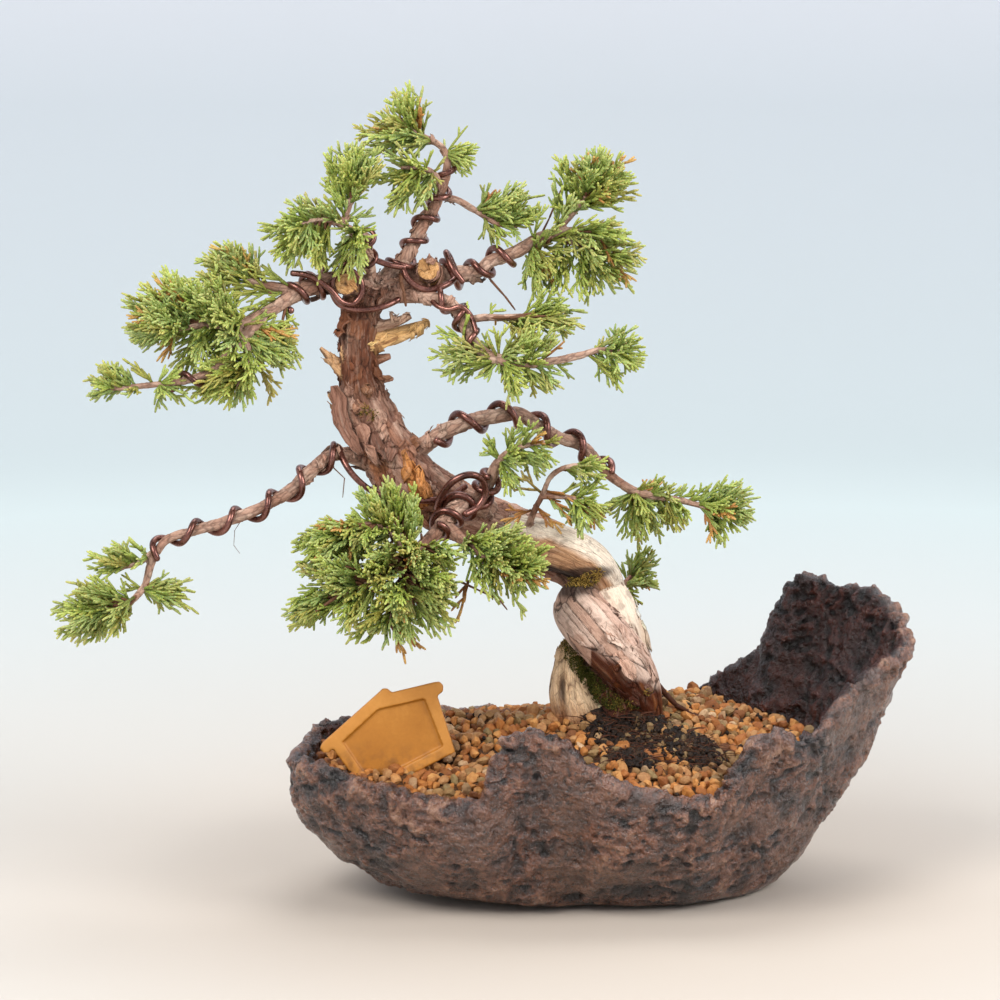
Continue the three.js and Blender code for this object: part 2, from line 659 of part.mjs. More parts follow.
function makeWood(grow) {
  const bare = Object.entries(LIMBS).filter(([name]) => leafyFrom[name] !== 0);
  const limbs = bare.map(([name, { sides, points }]) => {
    const to = leafyFrom[name] ?? 1;
    return limbBody(limbStations[name], { sides, rings: Math.ceil(points.length * 0.75 * to), grow, to });
  });
  const trunk = limbBody(trunkStations, { sides: 10, rings: 20, grow, outline: trunkOutline });
  return union([trunk, ...limbs, ...STUBS.map((stub) => stubBody(stub, grow))]);
}

// ---------------------------------------------------------------- shaping wire

/** The points of a wire wound round a stretch of limb. */
function wirePath({ radius, limb, from, to, turns, start }) {
  return steps(Math.round(Math.abs(turns) * WIRE_STEPS_PER_TURN)).map((step) => {
    const station = stationAt(limbStations[limb], from + (to - from) * step);
    const angle = start + 2 * Math.PI * turns * step;
    const reach = (station.radius + radius + GAP) / Math.cos(Math.PI / WIRE_STEPS_PER_TURN);
    const p = station.at.addScaledVector(station.up, reach * Math.cos(angle));
    return p.addScaledVector(station.across, reach * Math.sin(angle));
  });
}

function makeWire(wire) {
  const path = wirePath(wire);
  const corner = (_, j) => {
    const angle = (2 * Math.PI * (j + 0.5)) / WIRE_SIDES;
    return new THREE.Vector2(wire.radius * Math.cos(angle), wire.radius * Math.sin(angle));
  };
  const section = new THREE.Shape(Array.from({ length: WIRE_SIDES }, corner));
  const extrudePath = new THREE.CatmullRomCurve3(path, false, "catmullrom", 0.5);
  return solid(new THREE.ExtrudeGeometry(section, { steps: path.length - 1, extrudePath }));
}

// ---------------------------------------------------------------- foliage

/** What the needles have to keep clear of: stretches of line with a radius, a node and a spray. */
const taken = [];

/** Whether a stretch keeps clear of the other nodes and, for side needles, of the node's other sprays. */
function isFree({ node, spray, apart }, a, b, radius) {
  const line = new THREE.Line3(a, b);
  const probe = new THREE.Vector3();
  const near = new THREE.Vector3();
  return taken.every((other) => {
    const own = other.node === node;
    if (own && (!apart || !other.spray || other.spray === spray)) return true;
    const room = radius + other.radius + (own ? 0 : GAP);
    if (other.line.start.distanceTo(a) > room + other.length + line.distance()) return true;
    return steps(12).every((t) => {
      other.line.at(t, probe);
      return line.closestPointToPoint(probe, true, near).distanceTo(probe) > room;
    });
  });
}

function take({ node, spray }, a, b, radius) {
  const line = new THREE.Line3(a.clone(), b.clone());
  taken.push({ node, spray, line, radius, length: line.distance() });
}

/** One spray's line: it leaves the nearest stem a little before its tip, bends and rises. */
function sprayLine(stems, lobe, i) {
  const polar = 1 - 2 * spread(i, 0);
  const turn = 2 * Math.PI * spread(i, 1);
  const flat = Math.sqrt(1 - polar * polar);
  const way = new THREE.Vector3(flat * Math.cos(turn), flat * Math.sin(turn), polar);
  way.add(vector(lobe.lean)).normalize();
  const depth = 0.7 + 0.3 * Math.sqrt(spread(i, 2));
  const tip = vector(lobe.half).multiply(way).multiplyScalar(depth).add(vector(lobe.at));
  const places = stems.flatMap(([limb, from]) => {
    return steps(16).map((step) => ({ limb, from, share: from + (1 - from) * step }));
  });
  const gap = ({ limb, share }) => stationAt(limbStations[limb], share).at.distanceTo(tip);
  const nearest = places.reduce((best, place) => (gap(place) < gap(best) ? place : best));
  const stations = limbStations[nearest.limb];
  const back = ((0.4 + 0.7 * spread(i, 3)) * gap(nearest)) / stations.span;
  const station = stationAt(stations, Math.max(nearest.from + 0.02, nearest.share - back));
  const reach = tip.distanceTo(station.at);
  const out = tip.clone().sub(station.at).normalize();
  const foot = station.at.clone().addScaledVector(out, station.radius * 0.3);
  const bend = foot.clone().lerp(tip, 0.5).addScaledVector(station.along, 0.1 * reach);
  bend.z += 0.06 * reach;
  return new THREE.QuadraticBezierCurve3(foot, bend, tip);
}

/** A three-sided spray: from the faces of its bands, side needles are drawn out forwards. */
function spraySolid(owner, curve, i) {
  const shares = NEEDLE.bands;
  const length = curve.getLength();
  const rings = shares.map((share) => {
    const along = curve.getTangent(share);
    const turn = 9 * spread(i, 4);
    const up = new THREE.Vector3(Math.cos(turn), Math.sin(turn), 2 * spread(i, 5) - 1);
    up.addScaledVector(along, -up.dot(along)).normalize();
    const station = { at: curve.getPoint(share), up, across: along.clone().cross(up) };
    return ringAt(station, 3, () => NEEDLE.radius * (1 - 0.35 * share));
  });
  const points = rings.flat();
  const index = [0, 2, 1];
  const middle = (corners) => {
    const sum = corners.reduce((all, c) => all.add(points[c]), new THREE.Vector3());
    return sum.divideScalar(corners.length);
  };
  const point = (corners, apex) => {
    points.push(apex);
    corners.forEach((c, n) => index.push(c, corners[(n + 1) % corners.length], points.length - 1));
  };
  for (let band = 0; band + 1 < rings.length; band++)
    for (let j = 0; j < 3; j++) {
      const [a, b] = [band * 3 + j, band * 3 + ((j + 1) % 3)];
      const face = [a, b, b + 3, a + 3];
      const from = middle(face);
      const axis = curve.getPoint((shares[band] + shares[band + 1]) / 2);
      const ahead = curve.getTangent(shares[band]);
      const way = from.clone().sub(axis).normalize().multiplyScalar(0.9).add(ahead).normalize();
      const end = from.clone().addScaledVector(way, length * NEEDLE.side * (1.2 - shares[band]));
      if (band > 0 && isFree({ ...owner, apart: true }, from, end, NEEDLE.radius)) {
        point(face, end);
        take(owner, from, end, NEEDLE.radius);
      } else index.push(a, b, b + 3, a, b + 3, a + 3);
    }
  const last = rings.length * 3 - 3;
  point([last, last + 1, last + 2], curve.getPoint(1));
  return solid(new THREE.BufferGeometry().setFromPoints(points).setIndex(index));
}

function makePad(name, { stems, lobes }) {
  const parts = stems.map(([limb, from]) => {
    const sides = Math.min(LIMBS[limb].sides, 5);
    return limbBody(limbStations[limb], { sides, rings: 3, from: from && from + 0.012 });
  });
  for (const lobe of lobes)
    for (let i = 1; i <= lobe.sprays; i++) {
      const curve = sprayLine(stems, lobe, i);
      const owner = { node: name, spray: `${lobes.indexOf(lobe)} ${i}` };
      const [a, b, c] = [curve.getPoint(0), curve.getPoint(0.5), curve.getPoint(1)];
      if (!isFree(owner, a, b, NEEDLE.radius)) continue;
      if (!isFree({ ...owner, apart: true }, b, c, NEEDLE.radius)) continue;
      take(owner, a, b, NEEDLE.radius);
      take(owner, b, c, NEEDLE.radius);
      parts.push(spraySolid(owner, curve, i));
    }
  return union(parts);
}

// ---------------------------------------------------------------- label

function makeLabel(grow) {
  const shape = (points) => new THREE.Shape(points.map(([x, y]) => new THREE.Vector2(x, y)));
  const options = { depth: LABEL.thickness, bevelEnabled: false };
  const plate = new THREE.ExtrudeGeometry(shape(LABEL.outline), options);
  const [x, y] = [-18, 15];
  plate.translate(-x, -y, -LABEL.thickness / 2);
  plate.scale(1 + grow / 14, 1 + grow / 14, 1 + (2 * grow) / LABEL.thickness);
  plate.translate(x, y, 0);
  let body = solid(plate);
  if (!grow) {
    const recess = new THREE.ExtrudeGeometry(shape(LABEL.recess), options);
    body = body.subtract(solid(recess.translate(0, 0, LABEL.thickness / 2 - LABEL.recessDepth)));
  }
  const place = new THREE.Matrix4().makeTranslation(...LABEL.place);
  place.multiply(new THREE.Matrix4().makeRotationX(-LABEL.turn.back));
  place.multiply(new THREE.Matrix4().makeRotationY(-LABEL.turn.roll));
  place.multiply(new THREE.Matrix4().makeRotationX(Math.PI / 2));
  return body.transform(place.elements);
}

// ---------------------------------------------------------------- soil

/** The soil's surface at a place, with a grain's share of the relief. */
function soilHeight(x, y, grain) {
  const away = (at) => (x - at[0]) ** 2 + (y - at[1]) ** 2;
  const bump = ({ at, height, reach }) => height * Math.exp(-away(at) / reach ** 2);
  const mounds = SOIL.mounds.reduce((sum, mound) => sum + bump(mound), 0);
  return SOIL.level + SOIL.slope * y + mounds + SOIL.relief * (grain - 0.5);
}

/** A block whose top is the grains' relief. */
function makeHeap() {
  const columns = Math.ceil(250 / SOIL.grain);
  const rows = Math.ceil(150 / SOIL.grain);
  const wide = columns + 1;
  const surface = [];
  for (let j = 0; j <= rows; j++)
    for (let i = 0; i <= columns; i++) {
      const n = j * wide + i;
      const x = -128 + SOIL.grain * (i + 0.5 * spread(n, 2));
      const y = -76 + SOIL.grain * (j + 0.5 * spread(n, 3));
      surface.push(new THREE.Vector3(x, y, soilHeight(x, y, spread(n, 0) > 0.5 ? 1 : 0)));
    }
  const base = surface.length;
  const points = [...surface, ...surface.map((p) => p.clone().setZ(0))];
  const index = [];
  const quad = (a, b, c, d) => index.push(a, b, c, a, c, d);
  for (let j = 0; j < rows; j++)
    for (let i = 0; i < columns; i++) {
      const a = j * wide + i;
      quad(a, a + 1, a + 1 + wide, a + wide);
      quad(base + a, base + a + wide, base + a + wide + 1, base + a + 1);
    }
  for (let i = 0; i < columns; i++) {
    const a = rows * wide + i;
    quad(base + i, base + i + 1, i + 1, i);
    quad(a, a + 1, base + a + 1, base + a);
  }
  for (let j = 0; j < rows; j++) {
    const a = j * wide;
    const b = a + columns;
    quad(a, a + wide, base + a + wide, base + a);
    quad(base + b, base + b + wide, b + wide, b);
  }
  return solid(new THREE.BufferGeometry().setFromPoints(points).setIndex(index));
}

function makeSoil(wood, label) {
  const { scale, about } = SOIL.fit;
  const fill = loft(cavity, true).translate(0, 0, -about).scale(scale, scale, scale).translate(0, 0, about);
  const room = union([wood, label, netPlate(-1, GAP), netPlate(1, GAP)]);
  return largest(solid(fill).intersect(makeHeap()).subtract(room));
}

// ---------------------------------------------------------------- assembly

const woodRoom = makeWood(GAP);

addNode("pot", makePot(), MATERIALS.pot);
addNode("drain_net_left", makeNet(-1), MATERIALS.net);
addNode("drain_net_right", makeNet(1), MATERIALS.net);
addNode("soil", makeSoil(woodRoom, makeLabel(GAP)), MATERIALS.soil);
addNode("label", makeLabel(0), MATERIALS.label);
addNode("tree_wood", largest(makeWood(0)), MATERIALS.wood);

for (const [name, wire] of Object.entries(WIRES)) {
  const path = wirePath(wire);
  path.slice(1).forEach((p, i) => take({ node: name }, path[i], p, wire.radius));
  addNode(name, largest(makeWire(wire).subtract(woodRoom)), MATERIALS.wire);
}
for (const [name, { stems }] of Object.entries(PADS))
  for (const [limb, from] of stems) {
    const places = steps(4).map((step) => stationAt(limbStations[limb], from + (1 - from) * step));
    places.slice(1).forEach(({ at, radius }, i) => take({ node: name }, places[i].at, at, radius));
  }
for (const [name, pad] of Object.entries(PADS)) {
  addNode(name, largest(makePad(name, pad).subtract(woodRoom)), MATERIALS.foliage);
}

export default root;
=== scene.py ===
import math
import random

import bmesh
import bpy
import numpy as np
from bpy.props import FloatProperty, FloatVectorProperty, IntProperty, PointerProperty
from bpy.types import Operator, Panel, PropertyGroup
from mathutils import Matrix, Quaternion, Vector
from mathutils.bvhtree import BVHTree
from mathutils.kdtree import KDTree


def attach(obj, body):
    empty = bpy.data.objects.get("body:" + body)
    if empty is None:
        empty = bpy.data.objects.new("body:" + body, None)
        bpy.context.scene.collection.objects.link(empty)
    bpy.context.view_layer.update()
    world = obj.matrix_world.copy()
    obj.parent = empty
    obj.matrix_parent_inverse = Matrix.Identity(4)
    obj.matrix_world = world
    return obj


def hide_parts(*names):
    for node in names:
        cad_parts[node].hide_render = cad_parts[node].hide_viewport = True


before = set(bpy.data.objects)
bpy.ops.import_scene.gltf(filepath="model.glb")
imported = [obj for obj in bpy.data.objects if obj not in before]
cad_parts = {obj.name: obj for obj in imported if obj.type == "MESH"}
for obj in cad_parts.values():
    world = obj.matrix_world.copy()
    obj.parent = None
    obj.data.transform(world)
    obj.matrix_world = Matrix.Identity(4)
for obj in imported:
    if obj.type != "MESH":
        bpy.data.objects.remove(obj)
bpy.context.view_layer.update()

bl_info = {
    "name": "Juniper Bonsai",
    "version": (1, 0, 0),
    "blender": (4, 5, 0),
    "location": "View3D > Sidebar > Bonsai",
    "description": "Dresses a wired juniper bonsai in a rock-like pot",
    "category": "Object",
}

MM = 0.001

# ------------------------------------------------------------------ shapes placed one by one, in millimetres

# Each limb is a list of (x, y, z, radius).
TRUNK = [
    (4, 2, 40, 12), (4, 2, 54, 12.5), (3, 2, 69, 12.5), (1, 1, 81, 12), (-1, 2, 92, 12), (-3, 5, 103, 11),
    (-6, 10, 112, 9.5), (-13, 12, 120, 9.5), (-24, 13, 127, 10), (-38, 13, 132, 10.3), (-52, 12, 138, 10.8),
    (-65, 8, 145, 11.5), (-78, 4, 155, 12), (-84.5, 1, 166, 10.4), (-89.5, -1, 177, 9), (-94, -3, 188, 8.2),
    (-95.3, -4, 199, 6.9), (-95.2, -4, 210, 6.6), (-93.5, -4, 221, 7.4), (-91, -5, 228, 6.5),
]

LIMBS = {
    "strand_left": [
        (-10, -1, 44, 8), (-12, -4, 56, 9.5), (-14, -5, 67, 9.3), (-16.5, -6, 76, 7.8), (-17, -5, 84, 5.6),
        (-15.5, -1, 91, 4.6), (-10, 5, 96, 3.5),
    ],
    "strand_front": [
        (13, -4, 58, 5), (12.5, -6, 66, 5.6), (11.5, -8, 72, 6.6), (8.8, -10, 79.5, 8.2),
        (4.5, -11.5, 86.5, 9.7), (-1.8, -12, 94, 10.6), (-8.5, -11, 101.5, 10.6), (-12.5, -6, 106, 10),
        (-12, 2, 109, 9),
    ],
    "strand_right": [
        (7, 6, 54, 10), (8, 5, 66, 9.5), (8, 4, 76, 8.6), (5.6, 3, 87, 8.6), (3, 2, 96, 9),
        (-0.5, 2, 105, 9.3), (-4.5, 4, 112, 8.8), (-6, 8, 118, 8.5),
    ],
    "roll": [
        (-46, 12, 134, 9), (-36, 9, 131, 9.3), (-26, 5, 129.5, 9.4), (-17, -0.5, 127.5, 9),
        (-9.5, -1, 123.5, 8.6), (-5, 3, 117, 8.3), (-3, 8, 111, 8),
    ],
    "low_left": [
        (-88, 0, 160, 4), (-98, -3, 164, 2.7), (-105, -9, 165, 2.5), (-112, -14, 160, 2.5),
        (-120, -19, 153, 2.4), (-131, -24, 147, 2.2), (-143, -29, 143, 2), (-155, -34, 140, 1.8),
        (-164, -36, 137, 1.7), (-169, -38, 129, 1.5), (-172, -40, 120, 1.3), (-180, -42, 113, 1),
        (-189, -43, 111, 0.8),
    ],
    "low_left_twig": [(-168, -37, 133, 1.4), (-174, -38, 129, 1.1), (-182, -39, 127, 0.8)],
    "mid_right": [
        (-82, 3, 158, 4.6), (-73, 3, 166, 3.5), (-64, 4, 172, 2.9), (-54, 5, 176, 2.8), (-44, 7, 178, 2.9),
        (-35, 10, 178, 2.7), (-27, 12, 173, 2.5), (-20, 13, 169, 2.4), (-12, 14, 166, 2.3),
        (-6, 14, 160, 2.2), (0, 14, 154, 2), (10, 14, 148, 1.7), (22, 14, 146, 1.4), (34, 14, 143, 1.1),
        (45, 14, 140, 0.8),
    ],
    "front": [
        (-46, 12, 136, 6), (-50, 3, 145, 4.6), (-57, -8, 146, 3.6), (-63, -18, 141, 2.9),
        (-69, -30, 136, 2.4), (-77, -40, 130, 1.9), (-87, -49, 125, 1.3), (-98, -54, 121, 0.8),
    ],
    "front_up": [(-76, -39, 131, 1.5), (-81, -40, 140, 1.2), (-90, -42, 144, 1), (-101, -46, 140, 0.8)],
    "front_low": [(-77, -40, 130, 1.6), (-79, -50, 120, 1.2), (-83, -55, 110, 0.8)],
    "front_right": [(-63, -18, 141, 2.6), (-55, -29, 135, 1.9), (-44, -35, 129, 1.3), (-31, -38, 125, 0.8)],
    "mid": [
        (-53, 8, 140, 4), (-51, -2, 147, 2.9), (-46, -8, 156, 2.4), (-43, -12, 163, 1.8),
        (-37, -15, 168, 1.3), (-26, -16, 171, 0.8),
    ],
    "mid_low": [
        (-33, 8, 132, 1.7), (-30, -4, 143, 1.2), (-27, -10, 150, 1.1), (-24, -12, 157, 1),
        (-19, -14, 161, 1), (-12, -15, 162, 0.8),
    ],
    "mid_low_twig": [(-27, -10, 150, 1.2), (-18, -14, 150, 1), (-9, -15, 148, 0.8)],
    "back": [(-7, 12, 110, 3), (2, 24, 109, 1.8), (7, 32, 112, 1.2), (11, 37, 117, 0.8)],
    "upper_left": [
        (-90, -5, 225, 6), (-98, -8, 229, 4.6), (-107, -11, 229, 3.6), (-114, -14, 227, 3.1),
        (-121, -18, 223, 2.7), (-129, -24, 218, 2.3), (-139, -29, 215, 1.8), (-150, -33, 215, 1.3),
        (-165, -37, 213, 0.8),
    ],
    "upper_left_top": [
        (-114, -14, 227, 2.4), (-124, -18, 228, 1.8), (-132, -20, 230, 1.3), (-141, -20, 234, 0.8),
    ],
    "upper_left_low": [
        (-139, -29, 215, 1.6), (-134, -31, 207, 1.3), (-134, -33, 200, 1.1), (-139, -34, 192, 0.8),
    ],
    "left_tip": [
        (-128, -24, 218, 2.1), (-137, -32, 209, 1.8), (-143, -37, 202, 1.6), (-151, -41, 197, 1.5),
        (-162, -43, 195, 1.3), (-173, -44, 194, 1.1), (-184, -46, 193, 0.8),
    ],
    "apex": [
        (-91, -5, 225, 4.6), (-85, -4, 230, 3.5), (-79, -4, 236, 2.9), (-75, -4, 242, 2.6),
        (-71, -2, 250, 2.4), (-67, 0, 256, 2.2), (-64, 0, 263, 2), (-62, 0, 270, 1.7), (-63, 0, 277, 1.4),
        (-68, -2, 281, 1.2), (-74, -3, 284, 1), (-79, -4, 288, 0.8),
    ],
    "apex_inner": [(-64, 0, 262, 1.5), (-67, -5, 269, 1.2), (-73, -9, 271, 1), (-79, -10, 271, 0.8)],
    "crown_left": [
        (-90, -5, 226, 2.6), (-90, -10, 234, 1.8), (-91, -14, 241, 1.7), (-91, -16, 246, 1.6),
        (-97, -18, 249, 1.4), (-104, -19, 252, 1.2), (-111, -20, 252, 1), (-119, -22, 248, 0.8),
    ],
    "crown_up": [(-100, -18, 251, 1.4), (-97, -16, 259, 1.1), (-95, -14, 268, 0.8)],
    "upper_right": [
        (-91, -4, 225, 6.5), (-81, 0, 228, 5.6), (-70, 2, 230, 5), (-60, 4, 231, 3.5), (-51, 6, 232, 2.7),
        (-46, 7, 236, 2.6), (-40, 8, 238, 2.7), (-33, 10, 241, 2.6), (-26, 11, 245, 2.2),
        (-16, 12, 247, 1.5), (-7, 12, 245, 0.9),
    ],
    "upper_right_up": [(-23, 11, 246, 1.7), (-16, 14, 253, 1.4), (-10, 14, 260, 1.1), (-6, 14, 267, 0.8)],
    "upper_right_low": [(-20, 12, 246, 1.4), (-12, 14, 240, 1.1), (-5, 14, 233, 0.8)],
    "upper_right_twig": [
        (-65, 1, 260, 1.6), (-59, 4, 259, 1.3), (-52, 6, 255, 1.2), (-44, 8, 250, 1.1), (-36, 9, 248, 0.8),
    ],
    "right_under": [
        (-88, -4, 223, 4), (-79, -6, 224, 2.9), (-70, -8, 223.5, 2.5), (-62, -10, 222, 2.4),
        (-57, -12, 217, 2.4), (-54, -14, 210, 2.4), (-49, -16, 204, 2.4), (-42, -17, 201, 2.2),
        (-32, -18, 200, 1.9), (-22, -18, 201, 1.6), (-13, -18, 203, 1.4), (-5, -18, 205, 1.1),
        (3, -18, 204, 0.8),
    ],
    "right_under_twig": [
        (-56, -12, 215, 1.6), (-49, -8, 216, 1.5), (-38, -6, 216, 1.3), (-27, -4, 217, 0.9),
    ],
}

# The strands that the foot of the trunk has grown together from.
STRANDS = ("strand_left", "strand_front", "strand_right", "roll")

# Deadwood splinters and sawn stubs, as limbs. Every name starts with its kind.
DEADWOOD = {
    "jin_plank": [
        (-92, -3, 208.5, 4.4), (-85, -3, 208.5, 3.4), (-77, -3, 210.5, 2.7), (-71, -3, 213, 1.7),
        (-69, -3, 213.5, 1),
    ],
    "jin_lip": [(-91, -6, 205, 3), (-86.5, -6, 206, 2), (-80, -6, 208.5, 0.9)],
    "prong_long": [
        (-91, -4, 212.5, 3), (-85, -5, 213.5, 2), (-80, -6, 214.8, 1.9), (-75.5, -6, 216.8, 1.4),
    ],
    "prong_knob": [(-82, -6, 214.5, 1.5), (-83, -7, 218, 0.8)],
    "split_left": [(-97, -4, 192, 3.8), (-102, -6, 197.5, 2.9), (-109, -8, 205, 0.9)],
    "split_short": [(-96, -6, 195, 2.4), (-99.5, -7.5, 201, 1.7), (-101, -8, 205.5, 0.7)],
    "split_scale": [(-100, -3, 180, 2.8), (-103, -6, 184, 1.8), (-106, -8, 188, 1)],
    "splinter_front": [(-71, -4, 147, 4.4), (-75, -11, 157, 3.2), (-78, -14, 167, 1.1)],
    "splinter_side": [(-69, -6, 149, 3.2), (-71.5, -12, 155, 2.3), (-73, -14, 161, 0.9)],
    "sawn_right": [(-68, 1, 232, 4.4), (-69, -8, 234, 4.1)],
    "sawn_left": [(-98, -7, 228, 4.2), (-99, -17, 229, 3.9)],
    "stub_right": [(-90, -4, 200, 2.4), (-83, -4, 201.5, 1.2)],
    "stub_low": [(-89, -4, 193, 2.4), (-82, -5, 193, 0.8)],
    "snag": [(-91, -6, 187, 2.6), (-91, -14, 190, 1.5)],
    "snag_low": [(-94, -6, 181, 2.4), (-96, -13, 183, 1.6)],
    "stub_base": [(-80, 1, 163, 4), (-73, -3, 170, 2.6)],
}

# Shaping wire: radius, limb, from, to (shares of its length), turns and the angle where it starts.
WIRES = {
    "wire_low_left": (1.2, "low_left", 0.12, 0.76, -5.5, 1.2),
    "wire_mid_right": (1.4, "mid_right", 0.13, 0.66, 5, 2),
    "wire_front": (1.3, "front", 0.24, 0.5, 2.5, 2.6),
    "wire_mid": (1.3, "mid", 0.26, 0.52, 2, 2.6),
    "wire_upper_left": (1.3, "upper_left", 0.2, 0.42, 2.5, 0),
    "wire_left_tip": (1.1, "left_tip", 0.44, 0.66, 1.5, 0),
    "wire_apex": (1.1, "apex", 0.16, 0.68, 4.5, 0),
    "wire_crown_left": (0.9, "crown_left", 0.16, 0.46, 2, 0),
    "wire_upper_right": (1.3, "upper_right", 0.32, 0.62, 2.5, 0),
    "wire_right_under": (1.1, "right_under", 0.22, 0.5, 3, 0),
}

# Where the wires run on beside the coils, from limb to limb: radius and points.
WIRE_LEADS = {
    "wire_lead_low": (1.2, [
        (-102.5, -6, 168), (-100.5, -11, 163.5), (-97, -13.5, 158.5), (-91.5, -14.5, 153.5),
        (-85, -14, 150), (-77, -12, 148.8), (-68.5, -10, 148.4), (-61, -7, 149.5), (-55, -3, 153),
    ]),
    "wire_lead_left": (1.15, [
        (-119, -17, 233), (-112, -18, 232), (-105, -18, 227.5), (-100.5, -17, 222.5), (-96, -15.5, 221.8),
        (-93, -15, 226), (-94, -15, 231), (-98, -15, 234), (-102.5, -15, 232), (-104, -15, 227),
        (-102, -15, 222), (-97, -14, 219.6), (-91, -13, 219.3), (-85, -11.5, 220.5), (-79.5, -8, 223),
        (-76, -3, 226),
    ]),
    "wire_lead_top": (1.15, [
        (-103, -14, 230.5), (-100, -13, 235.5), (-95, -12, 238), (-89, -11, 237.5), (-83, -10, 235.5),
        (-77, -8, 234.5),
    ]),
    "wire_lead_right": (1.2, [
        (-77.5, -3, 238), (-78, -8, 233.5), (-75, -9.5, 229), (-69, -9, 226.3), (-62.5, -6.5, 228),
        (-59, -1, 231), (-61, 4, 237), (-62.5, 0, 239.5), (-60, -5, 234), (-56, -5, 228.5),
    ]),
    "wire_lead_front": (1.35, [
        (-66, -9, 145), (-64.5, -13, 150), (-60, -15, 156), (-54, -15, 158.5), (-49, -13, 156.5),
        (-48, -11, 151), (-51, -12, 146), (-56, -15, 143.5),
    ]),
    "wire_lead_under": (1, [
        (-69, -8, 224.5), (-66, -12, 221), (-61.5, -14.5, 219.5), (-57, -15.5, 220.5), (-53.5, -15, 217.5),
        (-51, -18, 211),
    ]),
}

